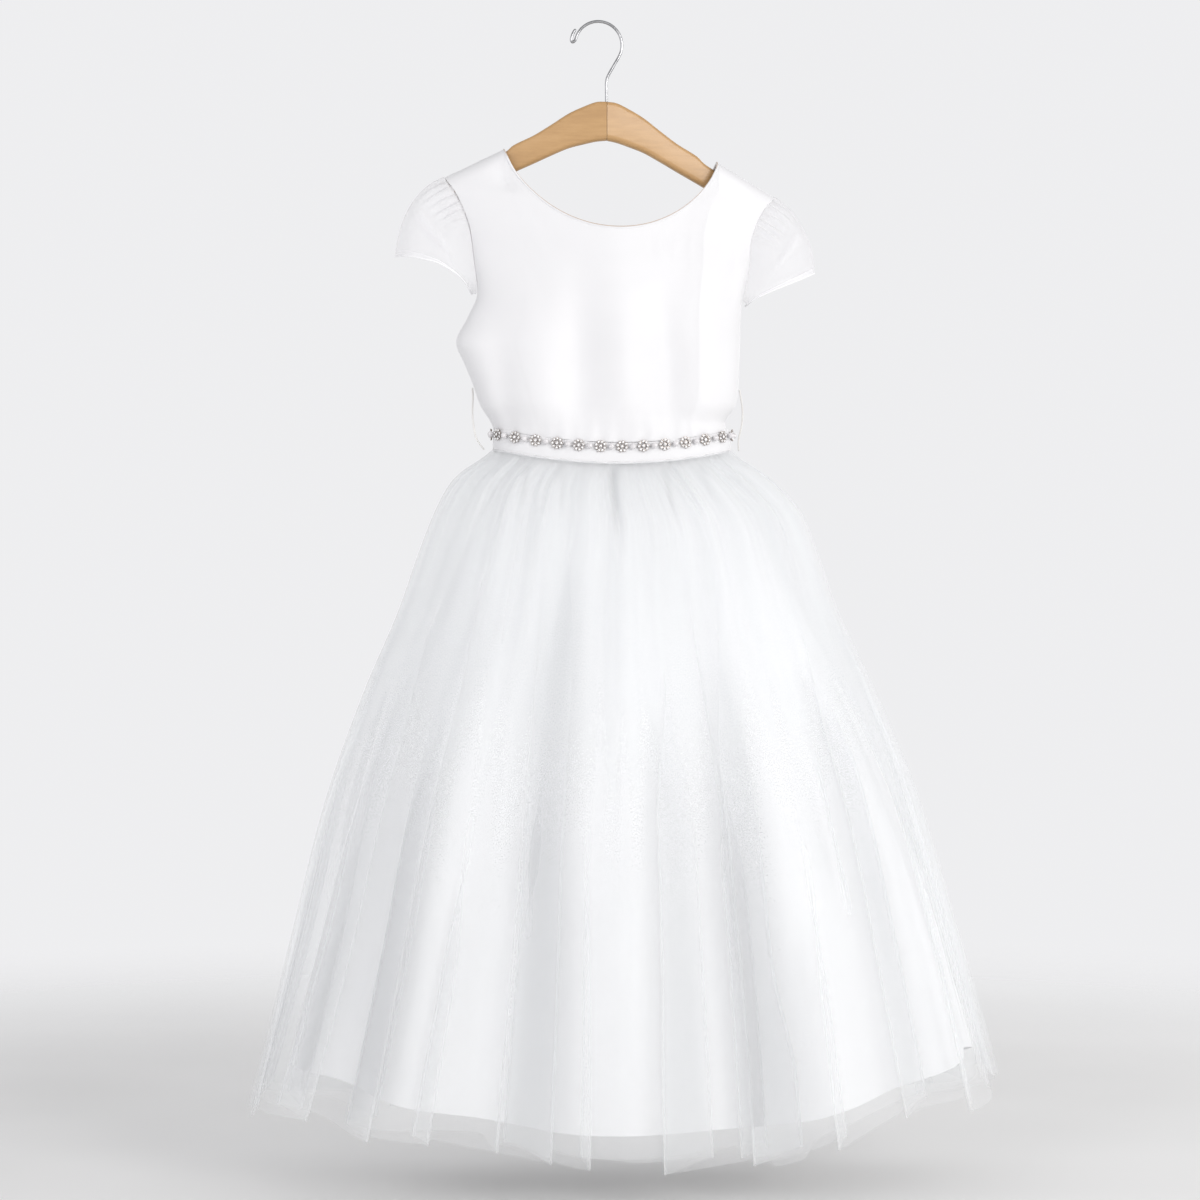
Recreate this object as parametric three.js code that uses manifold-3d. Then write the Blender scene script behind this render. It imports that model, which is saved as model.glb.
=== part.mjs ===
// A girl's sleeveless satin bodice with organza cap sleeves, a beaded waistband and a
// gathered tulle skirt over a satin lining, hung on a wooden hanger with a wire hook.
// Millimetres, +Z up. The front faces -Y, and +X is to the right as the front is seen.
// The origin is the inside of the hook's crown, where a rail or a peg carries it.
// `drop` is a distance below that point, and `turn` an angle round the body: 0 is the
// centre front, 90 the right side and 180 the centre back.
import * as THREE from "three";
import { mergeVertices } from "three/addons/utils/BufferGeometryUtils.js";
import Module from "manifold-3d";

// ---- driving dimensions -------------------------------------------------------------
const HANGER_X = 8; // the hanger's middle stands this far right of the hook's crown
const DRESS_X = 5.5; // the dress's middle stands this far right of the hanger's
const TILT = 0.048; // the right shoulder hangs lower: drop per mm across
const TILT_TOP = 165; // full tilt above this drop
const TILT_END = 345; // none below this one
const SEAM = 0.4; // open width of a seam between two pieces
const SATIN = 1.6; // wall of the satin pieces
const SHEER = 1.2; // wall of organza and tulle

const NECK_HALF = 107.5; // centre to the neck point
const NECK_DROP = 131; // the neck point
const FRONT_SCOOP = 76; // neck point down to the bottom of the front neck
const BACK_VEE = 200; // neck point down to the bottom of the back neck
const SHOULDER_HALF = 166; // centre to the shoulder tip
const SHOULDER_SLOPE = 0.52;
const SHOULDER_ROUND = 14; // how far down the cloth is still bending over the hanger
const CENTRE_ROUND = 25; // how far from the centre front the sweep to the back begins
const UNDERARM_DROP = 276;
const SQUARE = 2.4; // exponent of the body's oval sections, 2 is an ellipse

const BAND_TOP = 408; // at the side seam
const BAND_HIGH = 21;
const BAND_SAG = 14; // extra drop at the centre front
const BAND_SAG_BACK = 4;
const WAIST = { half: 118.5, front: 50, back: 45 };

const FLOWER_PITCH = 21.2;
const FLOWER_START = -5.5; // where the pattern of the trim is even to both sides
const FLOWER_RADIUS = 5.8;
const FLOWER_THICK = 2.6;
const PEARL_RADIUS = 2.8;
const TRIM_HIGH = 6.2;
const TRIM_THICK = 1.2;
const TRIM_DROP = 6; // middle of the trim below the band's top edge
const TRIM_END = 13; // from the centre back to each end of the trim

const GATHERS = 40; // round the waist
const RIPPLES = 20; // what the gathers merge into further down
const ARM_END = 151; // hanger's middle to the end of an arm
const ARM_THICK = 13;
const SWEEP = 0.15; // how far the arms go back per mm across
const WIRE = 1.5; // radius of the hook's wire
const LOOP_RADIUS = 1.1; // of the cord of a belt loop
const HOOK_RADIUS = 23.5;

// The bodice, a row for each section: half widths to the left and right, depth to the
// front and back, how nearly front and back close at the sides, and sweep to the back.
const BODICE = [
  { drop: 125, left: 166, right: 166, front: 18, back: 16, shut: 0.86, sweep: 0.15 },
  { drop: 161, left: 166, right: 166, front: 20, back: 17, shut: 0.88, sweep: 0.15 },
  { drop: 175, left: 157, right: 155, front: 23, back: 19, shut: 0.9, sweep: 0.14 },
  { drop: 190, left: 149, right: 147, front: 25, back: 21, shut: 0.92, sweep: 0.13 },
  { drop: 211, left: 141.5, right: 140.5, front: 28, back: 24, shut: 0.95, sweep: 0.11 },
  { drop: 239, left: 137.5, right: 138, front: 33, back: 27, shut: 0.98, sweep: 0.08 },
  { drop: 274, left: 134, right: 131.5, front: 38, back: 32, shut: 1, sweep: 0.05 },
  { drop: 297, left: 144, right: 129.5, front: 41, back: 35, shut: 1, sweep: 0.04 },
  { drop: 320, left: 155, right: 129, front: 44, back: 37, shut: 1, sweep: 0.03 },
  { drop: 341, left: 147, right: 128, front: 47, back: 39, shut: 1, sweep: 0.02 },
  { drop: 362, left: 138.5, right: 127, front: 50, back: 41, shut: 1, sweep: 0.01 },
  { drop: 383, left: 131, right: 123.5, front: 52, back: 43, shut: 1, sweep: 0 },
  { drop: 399, left: 121, right: 113, front: 51.5, back: 44, shut: 1, sweep: 0 },
  { drop: 409, left: 117.5, right: 116, front: 50.5, back: 45, shut: 1, sweep: 0 },
  { drop: 422, left: 118.5, right: 118.5, front: 50, back: 45, shut: 1, sweep: 0 },
];

// Soft troughs and ridges of the bodice front: where each passes at its upper and lower
// end, how deep it is (a ridge is negative), its half width and the stretch it covers.
const DRAPES = [
  { top: -34, bottom: -34, deep: 8, wide: 20, from: 215, to: 425 },
  { top: 48, bottom: 54, deep: 7, wide: 17, from: 235, to: 425 },
  { top: -84, bottom: -76, deep: -3, wide: 20, from: 250, to: 425 },
  { top: 6, bottom: 9, deep: -3.5, wide: 18, from: 235, to: 425 },
  { top: 92, bottom: 88, deep: -3.5, wide: 16, from: 255, to: 420 },
  { top: -122, bottom: -104, deep: 3, wide: 13, from: 275, to: 425 },
  { top: 140, bottom: 112, deep: 4.5, wide: 12, from: 165, to: 290 },
  { top: -112, bottom: -104, deep: 2.5, wide: 11, from: 134, to: 178 },
];

// The outer tulle, a row for each section down the slant from waist (0) to hem (1).
const SKIRT = [
  { t: 0, half: 120, front: 51, back: 46, shift: 0 },
  { t: 0.02, half: 139, front: 62, back: 50, shift: 0 },
  { t: 0.045, half: 159, front: 71, back: 53, shift: 1.5 },
  { t: 0.09, half: 182, front: 82, back: 56, shift: 6.5 },
  { t: 0.15, half: 198, front: 92, back: 59, shift: 7 },
  { t: 0.25, half: 220, front: 103, back: 62, shift: 6.5 },
  { t: 0.37, half: 253, front: 113, back: 65, shift: 7 },
  { t: 0.54, half: 293, front: 126, back: 69, shift: 10 },
  { t: 0.75, half: 329, front: 139, back: 73, shift: 13 },
  { t: 1, half: 372, front: 152, back: 78, shift: 13.5 },
];

// The satin lining, which falls in a plainer cone than the tulle.
const LINING = [
  { t: 0, half: 110.5, front: 41, back: 36, shift: 0 },
  { t: 0.07, half: 127, front: 52, back: 39, shift: 2 },
  { t: 0.21, half: 166, front: 71, back: 43, shift: 6 },
  { t: 0.42, half: 227, front: 90, back: 47, shift: 11 },
  { t: 0.6, half: 272, front: 103, back: 50, shift: 14 },
  { t: 0.8, half: 309, front: 114, back: 52, shift: 18 },
  { t: 1, half: 343, front: 125, back: 54, shift: 20.5 },
];

// The hem's height: vertical reach of the tulle and of the lining below the waistband.
const HEM = [
  { turn: -180, tulle: 664, lining: 632 },
  { turn: -125, tulle: 648, lining: 618 },
  { turn: -90, tulle: 637, lining: 607 },
  { turn: -75, tulle: 634, lining: 602 },
  { turn: -60, tulle: 637, lining: 607 },
  { turn: -48, tulle: 643, lining: 617 },
  { turn: -25, tulle: 654, lining: 634 },
  { turn: -14, tulle: 659, lining: 642 },
  { turn: -5, tulle: 673, lining: 645 },
  { turn: 14, tulle: 674, lining: 645 },
  { turn: 28, tulle: 652, lining: 634 },
  { turn: 50, tulle: 634, lining: 615 },
  { turn: 72, tulle: 620, lining: 595 },
  { turn: 90, tulle: 628, lining: 599 },
  { turn: 125, tulle: 648, lining: 618 },
  { turn: 180, tulle: 664, lining: 632 },
];

// The skirt's large folds: the turn of each crest and how far it stands out at the hem.
const FLUTES = [
  { turn: -168, out: 9 },
  { turn: -134, out: 10 },
  { turn: -103, out: 5 },
  { turn: -71, out: 8 },
  { turn: -38, out: 17 },
  { turn: -4, out: 19 },
  { turn: 27, out: 16 },
  { turn: 62, out: 11 },
  { turn: 95, out: 5 },
  { turn: 128, out: 9 },
  { turn: 160, out: 10 },
];

// The layers of the skirt. `near` and `far` are the distance inside the table's section
// at the waist and at the hem, `long` the share of the hem's reach, and the next three
// the height of the folds of each kind.
const LAYERS = [
  {
    name: "tulle_outer",
    table: SKIRT,
    hem: "tulle",
    near: 0,
    far: 0,
    long: 1,
    flute: 1,
    ripple: 4.6,
    gather: 2.5,
    wall: SHEER,
    columns: 160,
    rows: [0, 0.018, 0.05, 0.11, 0.21, 0.36, 0.55, 0.77, 1],
  },
  {
    name: "tulle_under",
    table: SKIRT,
    hem: "tulle",
    near: 5.5,
    far: 8,
    long: 1.004,
    flute: 1,
    ripple: 2.6,
    gather: 0.6,
    wall: SHEER,
    columns: 80,
    rows: [0, 0.05, 0.21, 0.36, 0.55, 0.77, 1],
  },
  {
    name: "skirt_lining",
    table: LINING,
    hem: "lining",
    near: 0,
    far: 0,
    long: 1,
    flute: 0.85,
    ripple: 0,
    gather: 0,
    wall: SATIN,
    columns: 60,
    rows: [0, 0.11, 0.36, 0.6, 0.8, 1],
  },
];

// The hem of a cap sleeve: `side` is 1 at the underarm and 0 at its outermost point.
const SLEEVE_HEM = [
  { side: 0, left: 216, leftDrop: 239.5, right: 208, rightDrop: 239.5, deep: 0 },
  { side: 0.14, left: 209, leftDrop: 240.5, right: 203, rightDrop: 243, deep: 17 },
  { side: 0.34, left: 194, leftDrop: 243, right: 188, rightDrop: 251, deep: 28 },
  { side: 0.58, left: 172, leftDrop: 248.5, right: 167, rightDrop: 261, deep: 31 },
  { side: 0.82, left: 151, leftDrop: 260, right: 145, rightDrop: 272, deep: 19 },
  { side: 1, left: 139.5, leftDrop: 273, right: 136.5, rightDrop: 279, deep: 0 },
];
const ARMHOLE_GAP = 1; // between a sleeve and the bodice's curved armhole
const SLEEVE_PUFF = { x: 21, y: 13, z: 16 }; // out of the straight line to the hem
const SLEEVE_BACK_LIFT = 12; // the back of the hem hangs higher
const SLEEVE_SWEEP = 0.1;
const SLEEVE_AXIS = 225; // drop of the line that the sleeve's gathers stand away from
const SLEEVE_GATHERS = 10; // if they went all round, only those at the top are made
const SLEEVE_ROWS = [0, 0.2, 0.5, 0.76, 1];

// A hanger arm: upper and lower edge, from the middle outwards.
const ARM = [
  { x: 0.2, top: 79, bottom: 117.7 },
  { x: 10, top: 79.6, bottom: 119 },
  { x: 23, top: 84.8, bottom: 122.4 },
  { x: 38, top: 92.4, bottom: 127 },
  { x: 54, top: 103.4, bottom: 134.4 },
  { x: 72, top: 115.2, bottom: 143.4 },
  { x: 93, top: 126.4, bottom: 153.6 },
  { x: 99, top: 132, bottom: 156.6 },
  { x: 108, top: 137.4, bottom: 161 },
  { x: 120, top: 143.4, bottom: 166.4 },
  { x: 134, top: 150, bottom: 172.8 },
  { x: 146, top: 156.4, bottom: 177.4 },
  { x: ARM_END, top: 162, bottom: 176 },
];

const BUTTON_DROPS = [342, 364, 386, 422.5]; // three on the bodice and one on the band
const BUTTON_RADIUS = 4.5;
const BUTTON_HIGH = 3.2;
const BUTTON_X = -6;

// ---- materials ----------------------------------------------------------------------
const finish = (color, roughness, metalness = 0) =>
  new THREE.MeshStandardMaterial({ color, roughness, metalness });
const satin = finish(0xf6f5f7, 0.42);
const tulle = finish(0xf1f2f5, 0.8);
const organza = finish(0xf0eff2, 0.6);
const beads = finish(0xd9d7d4, 0.25, 0.3);
const cord = finish(0xe9e4da, 0.7);
const lightWood = finish(0xdfb98c, 0.5);
const wire = finish(0xb9bcc2, 0.25, 1);

// ---- helpers ------------------------------------------------------------------------
const { clamp, degToRad, lerp, smoothstep } = THREE.MathUtils;

function slopeAt(rows, key, i, name) {
  const before = rows[Math.max(i - 1, 0)];
  const after = rows[Math.min(i + 1, rows.length - 1)];
  return (after[name] - before[name]) / (after[key] - before[key]);
}

// A named column of a table, read smoothly at a value of its key column.
function read(rows, key, at, name) {
  const place = clamp(at, rows[0][key], rows[rows.length - 1][key]);
  let i = 0;
  while (i < rows.length - 2 && rows[i + 1][key] < place) i += 1;
  const span = rows[i + 1][key] - rows[i][key];
  const w = (place - rows[i][key]) / span;
  const start = slopeAt(rows, key, i, name) * span;
  const end = slopeAt(rows, key, i + 1, name) * span;
  const a = rows[i][name];
  const b = rows[i + 1][name];
  const rest = a * (2 * w ** 3 - 3 * w ** 2 + 1) + b * (3 * w ** 2 - 2 * w ** 3);
  return rest + start * (w ** 3 - 2 * w ** 2 + w) + end * (w ** 3 - w ** 2);
}

const power = (value, exponent) => Math.sign(value) * Math.abs(value) ** exponent;

// Depth of an oval of depth 1 at a place across it, from -1 to 1.
const ovalDepth = (across) =>
  Math.max(0, 1 - Math.abs(across) ** SQUARE) ** (1 / SQUARE);

// A point of an oval section and the direction straight out of it.
function oval(turn, { half, front, back }) {
  const sin = Math.sin(degToRad(turn));
  const cos = Math.cos(degToRad(turn));
  const depth = cos > 0 ? front : back;
  const x = half * power(sin, 2 / SQUARE);
  const y = -depth * power(cos, 2 / SQUARE);
  const out = new THREE.Vector2(
    power(x / half, SQUARE - 1) / half,
    power(y / depth, SQUARE - 1) / depth,
  ).normalize();
  return { x, y, out };
}

// The hanger's tilt moves what hangs on it: all of the shoulders, none of the waist.
const tilted = (x, drop) =>
  drop + TILT * (x + DRESS_X) * (1 - smoothstep(drop, TILT_TOP, TILT_END));
const hungPoint = (x, y, drop) => new THREE.Vector3(x, y, -tilted(x, drop));

// A solid wall along a grid of middle points, grid[row][column]. `square(normal, row,
// column)` may straighten the normals along an edge. A closed wall joins its last column
// to its first.
function wallSolid(grid, thickness, { closed = false, square = () => {} } = {}) {
  const rows = grid.length;
  const columns = grid[0].length;
  const spans = closed ? columns : columns - 1;
  const normals = grid.map((line) => line.map(() => new THREE.Vector3()));
  for (let r = 0; r < rows - 1; r += 1) {
    for (let c = 0; c < spans; c += 1) {
      const d = (c + 1) % columns;
      const rise = grid[r + 1][d].clone().sub(grid[r][c]);
      const fall = grid[r + 1][c].clone().sub(grid[r][d]);
      const facing = rise.cross(fall);
      [normals[r][c], normals[r][d], normals[r + 1][c], normals[r + 1][d]].forEach((n) =>
        n.add(facing),
      );
    }
  }
  const positions = [];
  grid.forEach((line, r) =>
    line.forEach((point, c) => {
      const normal = normals[r][c].normalize();
      square(normal, r, c);
      normal.normalize();
      const face = point.clone().addScaledVector(normal, thickness / 2);
      const lining = point.clone().addScaledVector(normal, -thickness / 2);
      positions.push(...face.toArray(), ...lining.toArray());
    }),
  );
  const at = (r, c, side) => 2 * (r * columns + (c % columns)) + side;
  const index = [];
  const quad = (a, b, c, d) => index.push(a, b, c, a, c, d);
  for (let r = 0; r < rows - 1; r += 1) {
    for (let c = 0; c < spans; c += 1) {
      quad(at(r, c, 0), at(r, c + 1, 0), at(r + 1, c + 1, 0), at(r + 1, c, 0));
      quad(at(r, c, 1), at(r + 1, c, 1), at(r + 1, c + 1, 1), at(r, c + 1, 1));
    }
  }
  for (let c = 0; c < spans; c += 1) {
    quad(at(0, c, 0), at(0, c, 1), at(0, c + 1, 1), at(0, c + 1, 0));
    const r = rows - 1;
    quad(at(r, c, 0), at(r, c + 1, 0), at(r, c + 1, 1), at(r, c, 1));
  }
  if (!closed) {
    for (let r = 0; r < rows - 1; r += 1) {
      quad(at(r, 0, 0), at(r + 1, 0, 0), at(r + 1, 0, 1), at(r, 0, 1));
      const c = columns - 1;
      quad(at(r, c, 0), at(r, c, 1), at(r + 1, c, 1), at(r + 1, c, 0));
    }
  }
  const geometry = new THREE.BufferGeometry();
  geometry.setAttribute("position", new THREE.Float32BufferAttribute(positions, 3));
  geometry.setIndex(index);
  return facingOut(geometry);
}

function signedVolume(geometry) {
  const { position } = geometry.attributes;
  const corners = [0, 1, 2].map(() => new THREE.Vector3());
  let volume = 0;
  for (let i = 0; i < geometry.index.count; i += 3) {
    corners.forEach((corner, k) =>
      corner.fromBufferAttribute(position, geometry.index.getX(i + k)),
    );
    volume += corners[0].dot(corners[1].clone().cross(corners[2])) / 6;
  }
  return volume;
}

// Turns every face round if the solid is inside out.
function facingOut(geometry) {
  if (signedVolume(geometry) > 0) return geometry;
  const flipped = [];
  for (let i = 0; i < geometry.index.count; i += 3) {
    flipped.push(
      geometry.index.getX(i),
      geometry.index.getX(i + 2),
      geometry.index.getX(i + 1),
    );
  }
  geometry.setIndex(flipped);
  return geometry;
}

const wasm = await Module();
wasm.setup();

function toManifold(geometry) {
  const bare = new THREE.BufferGeometry();
  bare.setAttribute("position", geometry.attributes.position.clone());
  if (geometry.index) bare.setIndex(geometry.index.clone());
  const merged = mergeVertices(bare, 1e-3);
  return new wasm.Manifold(
    new wasm.Mesh({
      numProp: 3,
      vertProperties: new Float32Array(merged.attributes.position.array),
      triVerts: new Uint32Array(merged.index.array),
    }),
  );
}

function fromManifold(solid) {
  const { vertProperties, triVerts } = solid.getMesh();
  const geometry = new THREE.BufferGeometry();
  geometry.setAttribute("position", new THREE.BufferAttribute(vertProperties, 3));
  geometry.setIndex(new THREE.BufferAttribute(triVerts, 1));
  return geometry;
}

const hanger = new THREE.Group();
hanger.position.x = HANGER_X;
const dress = new THREE.Group();
dress.position.x = DRESS_X;
hanger.add(dress);
const whole = new THREE.Group();
whole.add(hanger);

function piece(name, geometry, material, group = dress) {
  const mesh = new THREE.Mesh(geometry, material.clone());
  mesh.name = name;
  group.add(mesh);
  return mesh;
}

// ---- bodice -------------------------------------------------------------------------
const shoulderDrop = (x) => NECK_DROP + (Math.abs(x) - NECK_HALF) * SHOULDER_SLOPE;
const frontNeck = (x) =>
  NECK_DROP + FRONT_SCOOP * Math.max(0, 1 - (x / NECK_HALF) ** 2) ** 0.7;
const backNeck = (x) =>
  NECK_DROP + BACK_VEE * Math.max(0, 1 - Math.abs(x) / NECK_HALF) ** 0.85;

// Drop of the waistband's top edge at a place across the body, from -1 to 1.
function bandTop(across, atBack) {
  const middle = Math.max(0, 1 - across * across);
  return BAND_TOP + (atBack ? BAND_SAG_BACK : BAND_SAG) * middle;
}

const halfAt = (across, drop) =>
  read(BODICE, "drop", drop, across < 0 ? "left" : "right");

// Depth that the soft folds take out of the bodice front.
function drapeDepth(x, drop) {
  return DRAPES.reduce((sum, fold) => {
    const down = clamp((drop - fold.from) / (fold.to - fold.from), 0, 1);
    const middle = lerp(fold.top, fold.bottom, down);
    const grow = smoothstep(down, 0, 0.55) * (1 - smoothstep(down, 0.75, 1));
    return sum + fold.deep * grow * Math.exp(-(((x - middle) / fold.wide) ** 2));
  }, 0);
}

// A point of the bodice: `across` runs from -1 at the left seam to 1 at the right one.
function bodicePoint(across, drop, atBack) {
  const x = across * halfAt(across, drop);
  const shut = Math.min(1, read(BODICE, "drop", drop, "shut"));
  const deep = read(BODICE, "drop", drop, atBack ? "back" : "front");
  const below = clamp((drop - shoulderDrop(x)) / SHOULDER_ROUND, 0, 1);
  const bend = Math.sqrt(1 - (1 - below) ** 2);
  const open = ovalDepth(across * shut);
  const fold = atBack ? 0 : drapeDepth(x, drop) * Math.min(1, open * 1.6);
  const away = deep * open * bend - fold + SEAM / 2;
  const sideways = Math.abs(x) * (atBack ? 1 : Math.tanh(Math.abs(x) / CENTRE_ROUND));
  const middle = read(BODICE, "drop", drop, "sweep") * sideways;
  return hungPoint(x, atBack ? middle + away : middle - away, drop);
}

// Drop of the top edge: the shoulder line, or the neck line where that is lower.
function topEdge(across, neck) {
  const straight = shoulderDrop(across * SHOULDER_HALF);
  if (Math.abs(across) * SHOULDER_HALF >= NECK_HALF - 0.01) return straight;
  let high = NECK_DROP;
  let low = NECK_DROP + BACK_VEE + 1;
  for (let i = 0; i < 30; i += 1) {
    const middle = (high + low) / 2;
    if (middle < neck(across * halfAt(across, middle))) high = middle;
    else low = middle;
  }
  return high;
}

const NECK_ACROSS = NECK_HALF / SHOULDER_HALF;
const STRAP_COLUMNS = [0.72, 0.8, 0.88, 0.95, 1];
const NECK_COLUMNS = [0.61, 0.64, NECK_ACROSS, ...STRAP_COLUMNS];
const FRONT_COLUMNS = [0.15, 0.29, 0.41, 0.52, ...NECK_COLUMNS];
const BACK_COLUMNS = [0.14, 0.28, 0.42, 0.54, ...NECK_COLUMNS];
const EDGE_ROWS = [0, 2.5, 7, SHOULDER_ROUND]; // mm below the top edge
const BODY_ROWS = [0.065, 0.155, 0.275, 0.425, 0.525, 0.625, 0.715, 0.86, 1]; // share of the rest

const SIDE_SEAM_ROW = EDGE_ROWS.length + 3; // the row at the underarm
const BACK_EDGE = SEAM / 2 / WAIST.half; // the centre-back edge, half a seam off centre

function bodicePanel(columns, neck, atBack) {
  const grid = [];
  const last = EDGE_ROWS.length + BODY_ROWS.length - 1;
  for (let row = 0; row <= last; row += 1) {
    grid.push(
      columns.map((across) => {
        const top = topEdge(across, neck);
        const bottom = bandTop(across, atBack) - SEAM;
        const edge = EDGE_ROWS[Math.min(row, EDGE_ROWS.length - 1)];
        const down = row < EDGE_ROWS.length ? 0 : BODY_ROWS[row - EDGE_ROWS.length];
        return bodicePoint(across, lerp(top + edge, bottom, down), atBack);
      }),
    );
  }
  const square = (normal, row, column) => {
    const across = Math.abs(columns[column]);
    const onShoulder = row === 0 && across >= NECK_ACROSS;
    const onSideSeam = across === 1 && row >= SIDE_SEAM_ROW;
    if (onShoulder || onSideSeam) normal.y = 0;
    else if (across === 1) normal.x = 0;
    if (row === last) normal.z = 0;
    if (across === BACK_EDGE) normal.x = 0;
  };
  return wallSolid(grid, SATIN, { square });
}

const mirrored = [...FRONT_COLUMNS].reverse().map((across) => -across);
piece("bodice_front", bodicePanel([...mirrored, 0, ...FRONT_COLUMNS], frontNeck, false), satin);
[-1, 1].forEach((side) => {
  const columns = [BACK_EDGE, ...BACK_COLUMNS].map((across) => side * across);
  const name = side < 0 ? "bodice_back_left" : "bodice_back_right";
  piece(name, bodicePanel(columns, backNeck, true), satin);
});

// ---- cap sleeves --------------------------------------------------------------------
// `round` goes once round the sleeve: 0 at the underarm, 0.5 at the shoulder tip. `along`
// goes from the armhole, 0, to the hem, 1.
function sleevePoint(hand, round, along) {
  const side = Math.abs(round - 0.5) * 2;
  const face = Math.sign(round - 0.5) || 1;
  const armDrop = lerp(shoulderDrop(SHOULDER_HALF), UNDERARM_DROP - 2, side ** 1.15);
  const arm = bodicePoint(hand, armDrop, face > 0);
  arm.z += tilted(arm.x, armDrop) - armDrop;
  const clear = ARMHOLE_GAP + (SATIN / 2) * smoothstep(side, 0.75, 1);
  const start = new THREE.Vector3(Math.abs(arm.x) + clear, arm.y, arm.z);
  const hem = (name) => read(SLEEVE_HEM, "side", side, name);
  const hemX = hem(hand < 0 ? "left" : "right");
  const hemDrop = hem(hand < 0 ? "leftDrop" : "rightDrop");
  const lift = face > 0 ? SLEEVE_BACK_LIFT * Math.sin(Math.PI * side) : 0;
  const end = new THREE.Vector3(
    hemX,
    SLEEVE_SWEEP * hemX + face * hem("deep"),
    lift - hemDrop,
  );
  const puff = new THREE.Vector3(
    lerp(SLEEVE_PUFF.x, 3, side),
    face * SLEEVE_PUFF.y * Math.sin(Math.PI * side ** 0.8),
    lerp(SLEEVE_PUFF.z, 1, side),
  );
  const control = start.clone().lerp(end, 0.5).add(puff);
  const point = start
    .clone()
    .multiplyScalar((1 - along) ** 2)
    .addScaledVector(control, 2 * along * (1 - along))
    .addScaledVector(end, along ** 2);
  const away = new THREE.Vector2(
    point.y - SLEEVE_SWEEP * point.x,
    point.z + SLEEVE_AXIS,
  ).normalize();
  const atTop = 1 - smoothstep(side, 0.42, 0.72);
  const size = atTop * (1 - along) ** 1.6 * (0.9 + 2.4 * along);
  const wave = size * Math.cos(2 * Math.PI * SLEEVE_GATHERS * (round - 0.5));
  return hungPoint(
    hand * point.x,
    point.y + away.x * wave,
    -(point.z + away.y * wave),
  );
}

const SLEEVE_TOP_COLUMNS = 24; // over the gathered head
const SLEEVE_SIDE_COLUMNS = 4; // from there down each side
const sleeveRounds = [];
for (let i = 0; i < SLEEVE_SIDE_COLUMNS; i += 1) {
  sleeveRounds.push((0.2 * i) / SLEEVE_SIDE_COLUMNS);
}
for (let i = 0; i <= SLEEVE_TOP_COLUMNS; i += 1) {
  sleeveRounds.push(0.2 + (0.6 * i) / SLEEVE_TOP_COLUMNS);
}
for (let i = 1; i < SLEEVE_SIDE_COLUMNS; i += 1) {
  sleeveRounds.push(0.8 + (0.2 * i) / SLEEVE_SIDE_COLUMNS);
}
[-1, 1].forEach((hand) => {
  const grid = SLEEVE_ROWS.map((along) =>
    sleeveRounds.map((round) => sleevePoint(hand, round, along)),
  );
  const square = (normal, row) => {
    if (row === 0) normal.x = 0;
  };
  const name = hand < 0 ? "sleeve_left" : "sleeve_right";
  piece(name, wallSolid(grid, SHEER, { closed: true, square }), organza);
});

// ---- waistband and its trim ---------------------------------------------------------
// A point on the waist, `out` mm off the band's middle and `down` mm below its top edge.
function waistPoint(turn, out, down) {
  const spot = oval(turn, WAIST);
  const atBack = Math.cos(degToRad(turn)) < 0;
  const drop = bandTop(spot.x / WAIST.half, atBack) + down;
  return hungPoint(spot.x + spot.out.x * out, spot.y + spot.out.y * out, drop);
}

// Turns that stand evenly along an oval, by their distance round from the centre front.
function roundTable(section) {
  const steps = 1440;
  const table = [];
  let length = 0;
  let last = oval(-180, section);
  for (let i = 0; i <= steps; i += 1) {
    const turn = -180 + (360 * i) / steps;
    const spot = oval(turn, section);
    length += Math.hypot(spot.x - last.x, spot.y - last.y);
    table.push({ length, turn });
    last = spot;
  }
  const whole = length;
  const middle = table[steps / 2].length;
  // The turn at a signed distance from the centre front.
  const turnAt = (distance) => {
    const place = clamp(distance + middle, 0, whole);
    let i = 0;
    while (i < steps - 1 && table[i + 1].length < place) i += 1;
    const a = table[i];
    const b = table[i + 1];
    return lerp(a.turn, b.turn, (place - a.length) / (b.length - a.length));
  };
  return { whole, turnAt };
}

const waistRound = roundTable(WAIST);
const BAND_COLUMNS = 60;
const bandTurns = [];
for (let i = 0; i <= BAND_COLUMNS; i += 1) {
  const reach = waistRound.whole - SEAM;
  bandTurns.push(waistRound.turnAt(-reach / 2 + (reach * i) / BAND_COLUMNS));
}
const bandGrid = [0, 1].map((share) =>
  bandTurns.map((turn) => waistPoint(turn, 0, share * BAND_HIGH)),
);
const bandEnds = (normal, row, column) => {
  if (column === 0 || column === BAND_COLUMNS) normal.x = 0;
};
piece("waistband", wallSolid(bandGrid, SATIN, { square: bandEnds }), satin);

// Moves a small solid that stands on the XY plane so that it stands on the waistband.
function standOnWaist(geometry, distance, out) {
  const turn = waistRound.turnAt(distance);
  const spot = oval(turn, WAIST);
  const facing = new THREE.Vector3(spot.out.x, spot.out.y, 0);
  const up = new THREE.Vector3(0, 0, 1);
  const along = up.clone().cross(facing);
  const place = waistPoint(turn, out, TRIM_DROP);
  const frame = new THREE.Matrix4().makeBasis(along, up, facing);
  frame.setPosition(place);
  return geometry.applyMatrix4(frame);
}

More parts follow.
